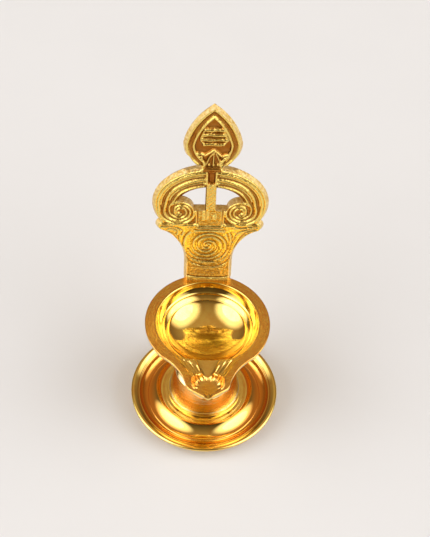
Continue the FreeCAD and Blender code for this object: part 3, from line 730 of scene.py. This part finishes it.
def bowl_profile(b):
    """The bowl's closed profile before the spout is drawn out: its inside and top, then its underside."""
    top, under = b.flange_height / MM, (b.flange_height - b.flange_thickness) / MM
    mouth, basin, flange, wall = b.mouth_radius / MM, b.basin_radius / MM, b.flange_radius / MM, b.wall / MM
    boss, rim, low = b.boss_radius / MM, top - b.basin_rim_depth / MM, top - b.depth / MM
    upper = [(r, top + z) for r, z in bowl_inside(b)]
    upper += arc(upper[-1], (mouth + 0.05, top + 0.07), (mouth + 0.35, top + 0.08), 6)
    upper += [(mouth + 0.47, top + 0.03), (mouth + 0.55, top)]
    upper += straight(upper[-1], (flange - FLANGE_EDGE, top), 44)
    lower = arc(upper[-1], (flange - 0.08, top - 0.08), (flange, top - FLANGE_EDGE), 5)
    lower += [(flange, under + 0.3), (flange - 0.08, under + 0.08), (flange - FLANGE_EDGE, under)]
    lower += straight(lower[-1], (mouth + wall, under), 26)
    sphere = (basin ** 2 + (rim - low) ** 2) / (2 * (rim - low)) + wall
    middle, rim_angle, boss_angle = low - wall + sphere, math.asin(basin / (sphere - wall)), math.asin(boss / sphere)
    turns = [rim_angle + (boss_angle - rim_angle) * i / 16 for i in range(17)]
    outside = [(sphere * math.sin(turn), middle - sphere * math.cos(turn)) for turn in turns]
    lower += straight(lower[-1], outside[0], 6) + outside[1:]
    lower += [(boss, outside[-1][1] - 0.01), (boss, BOWL_LOW[2] / MM), (0.0, BOWL_LOW[2] / MM)]
    return upper, lower


def drawn_out(b, r, turn, above):
    """Distances from the axis once the flange is drawn out into the spout, and shares of the way to its edge."""
    mouth, flange = b.mouth_radius / MM, b.flange_radius / MM
    polar = spout_outline(b.spout_reach / MM)
    reach = np.interp(np.abs(turn), [p[0] for p in polar], [p[1] for p in polar], right=flange)
    lip = LIP_PULL * np.clip(np.cos(2.2 * turn), 0, 1) ** 2 * (np.abs(turn) < 1.0) * above
    start = np.where(above, mouth, mouth + b.wall / MM)
    stretch = np.clip((r - start) / (flange - start), 0, None)
    inward = r - lip * ramp(r, b.basin_radius / MM, mouth)
    return np.where(r > start, start - lip + stretch * (reach - start + lip), inward), stretch


def spout_faces(b, x, y, z, r):
    """Heights of the spout's inside and of its outside, and which points lie in the wick pocket."""
    top, mouth, depth = b.flange_height / MM, b.mouth_radius / MM, b.trough_depth / MM
    half, deep, reach = b.pocket_radius / MM, b.pocket_depth / MM, b.pocket_reach / MM
    pocket = wick_pocket(x, y, half, deep, reach)
    hollow = soft_least(z, top + spout_hollow(x, y, depth), 0.12)
    inner = soft_least(hollow, top + pocket, 0.06) + pocket_rim(x, y, half, reach)
    lip_line = np.clip(1 - ((r - mouth - 0.25) / LIP_EDGE_HALF) ** 2, 0, 1) * ramp(top - hollow, 0.2, 0.8)
    inner += LIP_EDGE * lip_line * ramp(np.abs(x) - spout_widths(y)[1], -0.1, 0.5)
    keel = top + spout_keel(x, y, depth, SPOUT_WALL)
    belly = top + wick_pocket(x, y, half, deep, reach, SPOUT_WALL)
    outer = np.minimum(np.minimum(z, np.where(keel < top - SPOUT_WALL, keel, z)), belly)
    return inner, outer, pocket < FAR_ABOVE


class LAMP_OT_bowl(bpy.types.Operator):
    """Turn the oil bowl and draw out its spout"""
    bl_idname = "lamp.bowl"
    bl_label = "Oil bowl"

    def execute(self, context):
        b = context.scene.lamp_bowl
        top, mouth = b.flange_height / MM, b.mouth_radius / MM
        upper, lower = bowl_profile(b)
        bowl = turned("oil_bowl_and_spout", upper + lower, 400)
        x, y, z = points_of(bowl).T
        r, turn = np.hypot(x, y), np.arctan2(x, -y)
        above = z > np.interp(r, [p[0] for p in upper], [p[1] for p in upper]) - 0.3
        turn -= 0.4 * np.sin(turn)
        far, stretch = drawn_out(b, r, turn, above)
        x, y = far * np.sin(turn), -far * np.cos(turn)
        inner, outer, in_pocket = spout_faces(b, x, y, z, r)
        front = (y < -SPOUT_START) & (np.abs(x) < SPOUT_HALF)
        filed = np.where(front & above, ramp(z - inner, 0.02, 0.5), 0.0)
        flat_top = ramp(r, mouth + 0.15, mouth + 0.45) * above
        worked = np.maximum(np.where(in_pocket, 0.8, 0.4) * filed, flat_top * (1 - filed))
        z = np.where(front & (stretch <= 0.995), np.where(above, inner, outer), z)
        note(bowl, worked=worked, filed=filed)
        move_points(bowl, np.stack([x, y, z], 1))
        bpy.ops.object.shade_smooth_by_angle(angle=math.radians(40))
        self.add_lug(bowl, top)
        finish(bowl, "polished_brass", "oil_bowl")
        return {"FINISHED"}

    def add_lug(self, bowl, top):
        """Add the pad at the back that carries the crest."""
        deselect()
        back = BOWL_HIGH[1] / MM
        bpy.ops.mesh.primitive_cube_add(size=1.0)
        lug = bpy.context.object
        lug.scale = (2 * LUG_HALF * MM, (back - LUG_ROOT) * MM, (LUG_THICKNESS - 2 * LUG_GAP) * MM)
        lug.location = (0, (back + LUG_ROOT) / 2 * MM, (top - LUG_THICKNESS / 2 - LUG_GAP) * MM)
        bpy.ops.object.transform_apply(location=True, scale=True)
        soften(lug, 0.2)
        bpy.context.view_layer.objects.active = bowl
        bowl.select_set(True)
        bpy.ops.object.join()


# ---------------------------------------------------------------- crest

# Everything in millimetres over the flange, and to the right of the crest's middle. The arch, its windows and the
# volutes have a centre and radii; the leaf's points are shares of its half width and of its length.
ARCH_CENTRE = (0.0, 32.8)
ARCH = (17.4, 14.4)
ARCH_FOOT_HEIGHT, ARCH_WAIST_HALF = 25.2, 4.4
WINDOW = (10.5, 7.5)
WINDOW_FOOT_HEIGHT, POST_HALF = 30.3, 1.65
VOLUTE_EYE = 4.6
VOLUTE = (9.7, 29.3)
NECK = (6.8, 8.0)
LEAF_BASE = 48.3
LEAF_LENGTH = 22.5
LEAF_HALF = 8.05
LEAF_NOTCH = (45.9, 52.2, 7.2)
BRACKET = [(7.655, 13.25), (10.41, 18.22), (12.785, 20.78), (15.35, 22.2)]
LEAF = [(0.58, 0.05), (0.84, 0.17), (1.0, 0.40), (0.646, 0.736), (0.0, 1.0)]
BARS_TOP, LEAF_FLOOR_FOOT = 24.6, 48.6
PLAQUE_HALF, PLAQUE_FOOT, PLAQUE_TOP, PLAQUE_DEPTH = 3.85, 23.5, 30.4, 0.5
POST_BEADS_HALF, POST_BEADS_TOP, POST_BEADS_DEPTH = 1.6, 41.2, 0.16
KEYSTONE_HALF, KEYSTONE_FOOT, KEYSTONE_TOP = 1.0, 41.3, 46.0
COLLAR_HEIGHT, COLLAR_HALF, COLLAR_REACH, COLLAR_OUT = 47.3, 0.85, 3.5, 0.6
NECK_TOP, FOOT_SWEEP, FOOT_SWEEP_TOP = 5.2, 0.5, 2.8
SEAM = [(-7.2, 2.0), (-4.2, 1.5), (0.2, 1.2), (4.6, 1.3), (7.2, 1.8)]
SEAM_DEPTH, SEAM_HALF = 0.35, 0.24
# How much of the sand-cast mix the crest's front takes near its foot, as painted light that brightens the neck, and the
# height where it ends.
PAINTED_LIGHT_FOOT, PAINTED_LIGHT_TOP = 0.36, 15.0


def on_arch(degrees, inset):
    """A point of the crest's oval arch, by its angle from the top and its distance inside the edge."""
    angle = math.radians(degrees)
    return ((ARCH[0] - inset) * math.sin(angle), ARCH_CENTRE[1] + (ARCH[1] - inset) * math.cos(angle))


def leaf_half():
    """The right half of the leaf-shaped finial from its base to its tip."""
    return [(LEAF_HALF * a, LEAF_BASE + LEAF_LENGTH * b) for a, b in LEAF]


def crest_half():
    """The right half of the crest's outline from the foot to the tip."""
    foot_angle = math.degrees(math.acos((ARCH_FOOT_HEIGHT - ARCH_CENTRE[1]) / ARCH[1]))
    waist_angle = math.degrees(math.asin(ARCH_WAIST_HALF / ARCH[0]))
    arch = [on_arch(foot_angle + (waist_angle - foot_angle) * i / 6, 0) for i in range(7)]
    curved = [NECK] + BRACKET + [(16.3, 23.7)] + arch + [(3.1, 47.65)] + leaf_half()
    return [(NECK[0], -3.6), (NECK[0], 2.0)] + arcs(curved, 8)


def crest_outline():
    """The crest's whole outline, anticlockwise seen from the front."""
    half = crest_half()
    return half + mirrored(half)[1:]


def window_outline():
    """The right-hand opening between the arch, the volute and the post."""
    inner = [(WINDOW[0] * math.sin(a), ARCH_CENTRE[1] + WINDOW[1] * math.cos(a))
             for a in np.linspace(math.asin(POST_HALF / WINDOW[0]), math.asin(10.38 / WINDOW[0]), 18)]
    volute = [(VOLUTE[0] + VOLUTE_EYE * math.cos(a), VOLUTE[1] + VOLUTE_EYE * math.sin(a))
              for a in np.linspace(math.radians(80), math.radians(168.7), 14)]
    return [(POST_HALF, WINDOW_FOOT_HEIGHT)] + inner + volute


def coil(centre, radii, first, last, steps):
    """A curl about a centre: radii at even turns, angles from the outer side down and round."""
    points = []
    for i in range(steps + 1):
        share = i / steps
        angle = math.radians(first + (last - first) * share)
        radius = np.interp(share, np.linspace(0, 1, len(radii)), radii)
        points.append((centre[0] + radius * math.cos(angle), centre[1] - radius * math.sin(angle)))
    return points


def distance_to(points, x, z, closed=False):
    """Distance of many places from a path of points, and how far along it each is, from 0 to 1."""
    path = np.array(list(points) + ([points[0]] if closed else []))
    steps = np.hypot(*np.diff(path, axis=0).T)
    total, run = steps.sum(), 0.0
    best, along = np.full(x.shape, 1e9), np.zeros(x.shape)
    for (ax, az), (bx, bz), step in zip(path, path[1:], steps):
        if step > 0:
            t = np.clip(((x - ax) * (bx - ax) + (z - az) * (bz - az)) / step ** 2, 0, 1)
            d = np.hypot(x - ax - t * (bx - ax), z - az - t * (bz - az))
            nearer = d < best
            best = np.where(nearer, d, best)
            along = np.where(nearer, (run + t * step) / total, along)
        run += step
    return best, along


def ramp(value, low, high):
    """A smooth step from 0 to 1 between two values."""
    t = np.clip((value - low) / (high - low), 0, 1)
    return t * t * (3 - 2 * t)


def along_arch(first, last, inset):
    """A line that keeps inside the arch's edge and draws a little nearer to it at the sides."""
    return [on_arch(a, inset * (1 - 0.13 * math.sin(math.radians(a)) ** 2)) for a in range(first, last, 4)]


def both_sides(strokes):
    """The same strokes on the right and on the left."""
    return strokes + [([(-x, z) for x, z in path], *rest) for path, *rest in strokes]


def crest_ribs():
    """The crest's raised lines: points, half width at the start and at the end, and how deep their backs lie."""
    outer = along_arch(8, 96, 1.2) + coil(VOLUTE, (6.3, 5.5, 4.75, 4.7, 4.7, 4.6, 4.45, 4.3), 4, 305, 50)
    middle = along_arch(10, 84, 3.95)
    middle += coil(VOLUTE, (5.1, 4.5, 3.9, 3.5, 3.4, 3.4, 3.3, 2.7, 1.8, 1.45, 1.2, 0.9), -25, 470, 60)
    inner = along_arch(13, 78, 6.6)
    inner += coil(VOLUTE, (4.5, 3.3, 2.6, 2.3, 2.2, 2.2, 2.1, 1.9, 1.3, 0.8, 0.4), -56, 400, 50)
    edges = [(along_arch(10, 92, 2.1), 0.27, 0.27, 0.02), (along_arch(12, 84, 4.95), 0.27, 0.27, 0.05)]
    sides = [(outer, 0.68, 0.5, 0.0), (middle, 0.68, 0.4, 0.05), (inner, 0.36, 0.42, 0.1)] + edges
    sides += [([(4.3, 23.6), (4.3, 27.0), (4.5, 30.0)], 0.3, 0.3, 0.1), ([(1.42, 41.6), (1.5, 46.4)], 0.45, 0.42, 0.0),
              ([(2.2, 41.6), (1.3, 41.5)], 0.42, 0.42, 0.0), ([(4.6, 24.2), (5.6, 23.3), (7.0, 22.8)], 0.5, 0.4, 0.05)]
    leaf_bars = [([(-2.3, 63.0), (-0.6, 62.7), (0.9, 63.1), (3.1, 62.8)], 0.74, 0.66),
                 ([(-3.0, 60.8), (-1.2, 61.2), (0.8, 60.9), (3.4, 61.0)], 0.66, 0.74),
                 ([(-3.5, 59.3), (-1.0, 59.0), (1.6, 59.3), (4.2, 59.0)], 0.7, 0.62),
                 ([(-2.7, 57.2), (-0.8, 57.5), (1.2, 57.2), (3.2, 57.4)], 0.74, 0.7),
                 ([(3.3, 62.2), (3.9, 60.6), (4.5, 59.2), (3.3, 57.4)], 0.38, 0.34),
                 ([(-2.9, 62.4), (-3.7, 60.4), (-3.8, 58.9), (-2.8, 57.4)], 0.34, 0.34)]
    crown = [([(-4.9, 53.7), (-3.6, 53.6), (-2.3, 52.9), (-0.9, 54.0), (0.3, 55.1), (1.5, 54.0), (2.9, 52.5),
               (4.2, 53.2), (5.3, 53.3)], 0.42, 0.42), ([(0.4, 54.2), (-1.0, 52.2), (-1.8, 49.6)], 0.3, 0.35),
             ([(0.4, 54.2), (0.3, 49.4)], 0.28, 0.4), ([(1.0, 53.6), (1.9, 51.6), (2.4, 49.6)], 0.3, 0.35),
             ([(-3.4, 52.4), (-2.9, 50.2)], 0.5, 0.35), ([(3.4, 52.0), (3.3, 50.2)], 0.4, 0.35),
             ([(-4.6, 52.6), (-3.6, 50.8)], 0.35, 0.3), ([(5.2, 52.6), (4.2, 50.8)], 0.35, 0.3)]
    beads = [([(x, 49.2), (x + 0.02, 49.2)], 0.5, 0.5) for x in (-2.3, -1.0, 0.4, 1.7, 3.0)]
    strokes = both_sides(sides)
    strokes += [(path, a, b, 0.15) for path, a, b in leaf_bars] + [(path, a, b, 0.25) for path, a, b in crown + beads]
    slot = [([(-1.95, 26.3), (-1.95, 30.2)], 0.36, 0.3, -0.05), ([(-0.8, 26.4), (-0.8, 30.2)], 0.26, 0.26, 0.1),
            ([(1.45, 26.7), (1.45, 28.0)], 0.42, 0.42, -0.05)]
    return strokes + slot


def crest_grooves():
    """The crest's cut lines: points, half width and depth."""
    centre = (-0.5, 15.4)
    spiral = [(coil(centre, (0.5, 1.55, 3.2, 4.9, 6.4, 7.9), 20, 20 + 360 * 2.45, 90), 0.25, 0.45),
              (coil(centre, (0.5, 1.55, 3.2, 4.9, 6.2), 200, 200 + 360 * 1.9, 70), 0.25, 0.45)]
    medallion = smooth([(-6.2, 21.6), (-7.9, 19.0), (-8.4, 15.2), (-7.7, 11.4), (-5.6, 8.0), (-2.6, 6.5), (0.6, 6.0),
                        (3.6, 6.4), (6.0, 8.4), (7.5, 12.0), (8.8, 16.0), (10.3, 19.6), (12.2, 21.7), (15.0, 22.6)])
    folds = [[(5.6, 20.8), (6.4, 17.5), (6.0, 13.6), (4.6, 10.6)],
             [(6.7, 21.4), (7.4, 18.0), (6.9, 14.0), (5.8, 10.8), (4.4, 9.0)],
             [(7.7, 17.2), (8.6, 20.3), (10.2, 22.0), (12.6, 22.7), (14.6, 22.9)],
             [(8.3, 23.7), (10.4, 23.4), (13.0, 23.9), (15.4, 23.4)],
             [(7.9, 13.2), (9.2, 16.9), (11.0, 19.9), (13.2, 21.4)],
             [(-15.6, 23.6), (-12.4, 23.5), (-10.0, 23.0), (-8.6, 21.8), (-8.9, 20.2)],
             [(-14.0, 21.7), (-13.0, 22.7), (-11.4, 22.6), (-10.4, 21.4), (-10.6, 20.4)],
             [(-13.6, 21.2), (-12.0, 20.7), (-11.0, 19.4), (-10.3, 17.6)],
             [(-9.9, 19.6), (-9.6, 17.0), (-9.0, 13.8)]]
    bars = [([(-3.9, 23.2), (4.1, 23.2)], 0.3, 0.5), ([(-4.6, 22.2), (4.8, 22.2)], 0.28, 0.4),
            ([(-5.6, 5.7), (-1.0, 5.4), (3.0, 5.7), (5.6, 4.9)], 0.4, 0.16), ([(-1.8, 8.4), (2.0, 8.4)], 0.8, 0.3)]
    edges = [([(5.9, 0.6), (6.1, 6.4), (6.9, 9.6)], 0.22, 0.2), ([(-5.9, 0.6), (-6.1, 6.4), (-6.9, 9.6)], 0.22, 0.2)]
    return spiral + [(medallion, 0.27, 0.5)] + [(smooth(path), 0.24, 0.45) for path in folds] + bars + edges


def leaf_floor(x, z, recess):
    """How deep the leaf lies: a rounded rim, a narrow ridge inside it and the sunk floor."""
    half = arcs(leaf_half(), 10)
    inset, _ = distance_to(half + mirrored(half)[1:], x, z)
    rim = 0.1 + 0.75 * ramp(inset, 0.0, 1.0)
    ridge = 0.05 + 0.9 * np.clip(np.abs(inset - 2.15) / 0.62, 0, 1) ** 2
    return np.where(inset < 1.5, rim, np.where(inset < 2.7, ridge, recess))


def crest_depth(x, z, outline, ground, recess):
    """How deep the crest's front lies below its highest lines at each place, in millimetres, and how dark it is."""
    edge, _ = distance_to(outline, x, z, closed=True)
    level = ground * (1 - ramp(BARS_TOP - z, 0.0, 0.5))
    depth = np.where(z > LEAF_FLOOR_FOOT, leaf_floor(x, z, recess), level * ramp(edge, 0.15, 0.6))
    plaque = ramp(PLAQUE_HALF - np.abs(x - 0.05), 0.0, 0.2) * ramp(z, PLAQUE_FOOT, PLAQUE_FOOT + 0.2) * (z < PLAQUE_TOP)
    depth = np.where(plaque > 0, depth + (PLAQUE_DEPTH - depth) * plaque, depth)
    for points, first, last, back in crest_ribs():
        away, along = distance_to(points, x, z)
        half_width = first + (last - first) * along
        raised = back + (depth - back) * (1 - np.sqrt(np.clip(1 - (away / half_width) ** 2, 0, 1)))
        depth = np.where(away < half_width, np.minimum(depth, raised), depth)
    post = (np.abs(x - 0.1) < POST_BEADS_HALF) & (z > WINDOW_FOOT_HEIGHT) & (z < POST_BEADS_TOP)
    waves = 1 + np.sin(x * 5.2 + np.sin(z * 1.7)) * np.sin(z * 4.4 + np.sin(x * 2.3))
    depth = np.where(post, np.minimum(depth, POST_BEADS_DEPTH * waves), depth)
    keystone = ramp(KEYSTONE_HALF - np.abs(x - 0.1), 0.0, 0.25) * ramp(z, KEYSTONE_FOOT, KEYSTONE_FOOT + 0.3)
    depth = np.maximum(depth, recess * (keystone * ramp(KEYSTONE_TOP - z, 0.0, 0.3)))
    dark = np.clip(depth / recess * 1.35, 0, 1) * (1 - 0.55 * plaque)
    for points, half_width, cut in crest_grooves():
        away, _ = distance_to(points, x, z)
        fall = np.clip(1 - away / (2.4 * half_width), 0, 1)
        depth = depth + cut * (1 - np.sqrt(1 - fall ** 2))
        dark = np.maximum(dark, np.clip(1 - away / half_width, 0, 1) * min(1.0, 2 * cut))
    collar = np.clip(1 - ((z - COLLAR_HEIGHT) / COLLAR_HALF) ** 2, 0, 1)
    depth = depth - np.sqrt(collar * ramp(COLLAR_REACH - np.abs(x - 0.1), 0.0, 0.4)) * COLLAR_OUT
    worked = 1 - ramp(NECK_TOP - z, 0.0, 0.8)
    seam = np.clip(1.3 - distance_to(smooth(SEAM), x, z)[0] / SEAM_HALF, 0, 1)
    sweep = FOOT_SWEEP * np.clip(1 - z / FOOT_SWEEP_TOP, 0, 1) ** 1.4
    return depth * worked + SEAM_DEPTH * seam - sweep, dark * worked + seam


class LAMP_OT_crest(bpy.types.Operator):
    """Cast the scroll crest and work its relief"""
    bl_idname = "lamp.crest"
    bl_label = "Crest"

    def execute(self, context):
        c = context.scene.lamp_crest
        outline = crest_outline()
        thick, draft = c.thickness / MM, c.draft / MM
        notch_foot, notch_top, notch_half = LEAF_NOTCH
        hold = [0.3 if notch_foot < z < notch_top and abs(x) < notch_half else 1.0 for x, z in outline]
        middle = grown(outline, [draft * share for share in hold])
        crest = stacked("scroll_crest", [at_depth(outline, 0), at_depth(middle, thick / 2), at_depth(outline, thick)])
        window = window_outline()
        for opening in (window, mirrored(window)):
            cutter = stacked("opening", [at_depth(opening, -1.0), at_depth(opening, thick + 1.0)])
            cut_away(crest, cutter)
        crest.data.remesh_voxel_size = c.grain
        crest.data.remesh_voxel_adaptivity = 0.0
        bpy.ops.object.voxel_remesh()
        self.work_relief(crest, outline, c.relief / MM, c.recess / MM)
        bpy.ops.object.shade_smooth()
        work(crest, "SMOOTH", factor=0.4, iterations=2)
        foot = context.scene.lamp_bowl.flange_height
        crest.data.transform(Matrix.Translation((0, c.foot_reach, foot)) @ Matrix.Rotation(-c.lean, 4, "X"))
        self.trim_foot(crest, foot)
        finish(crest, "cast_brass", "crest_plate")
        return {"FINISHED"}

    def work_relief(self, crest, outline, ground, recess):
        """Push the front down between the raised lines, and note what is sunk, what is left sand-cast on the sides and
        back, and where the front's foot takes that finish as painted light.
        """
        points = points_of(crest)
        front = points[:, 1] < 0.12
        depth, dark = crest_depth(points[front, 0], points[front, 2], outline, ground, recess)
        sunk, sandy = np.zeros(len(points)), ramp(points[:, 1], 0.1, 0.5)
        points[front, 1] += depth
        sunk[front] = dark
        # The front's foot takes the sand-cast mix as painted light that brightens the neck, except in the dark
        # recesses.
        painted_light_near_foot = ramp(PAINTED_LIGHT_TOP - points[front, 2], 0.0, 11.0)
        sandy[front] = PAINTED_LIGHT_FOOT * painted_light_near_foot * np.clip(1 - 1.5 * dark, 0, 1)
        move_points(crest, points)
        note(crest, sunk=sunk, sandy=sandy)

    def trim_foot(self, crest, height):
        """Cut the crest's foot off level with the flange."""
        bpy.ops.object.mode_set(mode="EDIT")
        bpy.ops.mesh.select_all(action="SELECT")
        bpy.ops.mesh.bisect(plane_co=(0, 0, height), plane_no=(0, 0, -1), clear_outer=True, use_fill=True)
        bpy.ops.object.mode_set(mode="OBJECT")


# ---------------------------------------------------------------- fasteners and stage

class LAMP_OT_fasteners(bpy.types.Operator):
    """Finish the screw, the washer and the rivets"""
    bl_idname = "lamp.fasteners"
    bl_label = "Screw, washer and rivets"

    def execute(self, context):
        made = finishes()
        for node, slot in (("clamp_screw", "steel_fastener"), ("clamp_washer", "steel_fastener"),
                           ("crest_rivets", "cast_brass")):
            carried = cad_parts[node]
            for material_slot in carried.material_slots:
                material_slot.material = made[slot]
        return {"FINISHED"}


# The camera fitted to the photo: the point that it faces in millimetres, its distance in metres and its angles in
# degrees, and the photo's focal length and height in pixels.
CAMERA_TARGET, CAMERA_DISTANCE = (1.423, 0.0, 69.347), 0.43252
CAMERA_ELEVATION, CAMERA_AZIMUTH, CAMERA_ROLL = 49.705, -3.0, 3.247
FOCAL_PIXELS, PHOTO_HEIGHT, SENSOR = 1400, 537, 36

# The right-hand light and the middle of its glow. The left-hand ones mirror them.
LIGHT_PLACE, LIGHT_AIM = (2.32, -0.755, 1.786), (0, 0, 0.04)
GLOW_TOWARD, GLOW_EDGE, GLOW_FULL = (0.773, -0.252, 0.582), 0.75, 0.9
SKY_TOP = 1.2
FLOOR_WIDTH = 60.0


class LAMP_OT_stage(bpy.types.Operator):
    """Set the floor, the sky, the two soft lights and the camera"""
    bl_idname = "lamp.stage"
    bl_label = "Stage"

    def execute(self, context):
        studio = context.scene.lamp_studio
        deselect()
        bpy.ops.mesh.primitive_plane_add(size=FLOOR_WIDTH)
        floor = context.object
        floor.name = floor.data.name = "studio_floor"
        floor.data.materials.append(floor_paint(studio))
        self.light_world(context, studio)
        self.soft_light("left_light", -1, studio)
        self.soft_light("right_light", 1, studio)
        self.set_camera(context)
        context.scene.view_settings.view_transform = "Standard"
        return {"FINISHED"}

    def light_world(self, context, studio):
        """Warm sky, weaker from the camera's side and towards the horizon, with a soft glow round each light."""
        world = bpy.data.worlds.new("studio_world")
        context.scene.world = world
        world.use_nodes = True
        toward = add(world, "TexCoord").outputs["Generated"]
        parts = add(world, "SeparateXYZ", {0: toward}).outputs
        level = spread(world, parts["Y"], studio.sky_front, studio.sky, -0.8, 0.5)
        both = reckon(world, "MULTIPLY", level, spread(world, parts["Z"], studio.horizon, SKY_TOP))
        light = reckon_vector(world, "SCALE", {0: studio.sky_tint, "Scale": both})
        x, y, z = GLOW_TOWARD
        for side in (-1, 1):
            near = reckon_vector(world, "DOT_PRODUCT", {0: toward, 1: (side * x, y, z)})
            glow = add(world, "MapRange", {"Value": near, "From Min": GLOW_EDGE, "From Max": GLOW_FULL,
                                           "To Max": studio.glow}, interpolation_type="SMOOTHSTEP").outputs["Result"]
            tint = reckon_vector(world, "SCALE", {0: studio.light_tint, "Scale": glow})
            light = reckon_vector(world, "ADD", {0: light, 1: tint})
        fill(world, world.node_tree.nodes["Background"], {"Color": light})

    def soft_light(self, name, side, studio):
        """A large round soft light on one side that faces the bowl."""
        x, y, z = LIGHT_PLACE
        bpy.ops.object.light_add(type="AREA", location=(side * x, y, z))
        light = bpy.context.object
        light.name = light.data.name = name
        light.data.shape = "DISK"
        light.data.size = studio.light_width
        light.data.energy = studio.light_power
        light.data.color = studio.light_tint
        aim = Vector(LIGHT_AIM) - Vector((side * x, y, z))
        light.rotation_euler = aim.to_track_quat("-Z", "Y").to_euler()

    def set_camera(self, context):
        """Set the camera at the photograph's viewing angle."""
        elevation, azimuth = math.radians(CAMERA_ELEVATION), math.radians(CAMERA_AZIMUTH)
        roll = math.radians(CAMERA_ROLL)
        back = Vector((math.sin(azimuth) * math.cos(elevation), -math.cos(azimuth) * math.cos(elevation),
                       math.sin(elevation)))
        forward = -back
        right = forward.cross(Vector((0, 0, 1))).normalized()
        up = right.cross(forward)
        turned_right = right * math.cos(roll) + up * math.sin(roll)
        turned_up = up * math.cos(roll) - right * math.sin(roll)
        data = bpy.data.cameras.new("studio_camera")
        data.lens = FOCAL_PIXELS / PHOTO_HEIGHT * SENSOR
        data.sensor_width = SENSOR
        data.clip_start = 0.02
        camera = bpy.data.objects.new("studio_camera", data)
        context.scene.collection.objects.link(camera)
        spot = Vector(CAMERA_TARGET) * MM + back * CAMERA_DISTANCE
        axes = Matrix((turned_right, turned_up, back)).transposed().to_4x4()
        camera.matrix_world = Matrix.Translation(spot) @ axes
        context.scene.camera = camera


# ---------------------------------------------------------------- sidebar

STEPS = ("saucer", "foot", "bowl", "crest", "fasteners", "stage")
GROUPS = {"lamp_saucer": SaucerSizes, "lamp_foot": FootSizes, "lamp_bowl": BowlSizes, "lamp_crest": CrestSizes,
          "lamp_finishes": Finishes, "lamp_studio": Studio}


class LAMP_PT_sidebar(bpy.types.Panel):
    """The lamp's sizes, colours and steps"""
    bl_idname = "LAMP_PT_sidebar"
    bl_label = "Oil Lamp"
    bl_space_type = "VIEW_3D"
    bl_region_type = "UI"
    bl_category = "Oil Lamp"

    def draw(self, context):
        for key, group in GROUPS.items():
            box = self.layout.box()
            box.label(text=group.__name__)
            for name in group.__annotations__:
                box.prop(getattr(context.scene, key), name)
        for step in STEPS:
            self.layout.operator("lamp." + step)


CLASSES = (*GROUPS.values(), LAMP_OT_saucer, LAMP_OT_foot, LAMP_OT_bowl, LAMP_OT_crest, LAMP_OT_fasteners,
           LAMP_OT_stage, LAMP_PT_sidebar)


def register():
    for cls in CLASSES:
        bpy.utils.register_class(cls)
    for key, group in GROUPS.items():
        setattr(bpy.types.Scene, key, bpy.props.PointerProperty(type=group))


def unregister():
    for key in GROUPS:
        delattr(bpy.types.Scene, key)
    for cls in reversed(CLASSES):
        bpy.utils.unregister_class(cls)


def main():
    register()
    for step in STEPS:
        getattr(bpy.ops.lamp, step)()


if __name__ == "__main__":
    main()
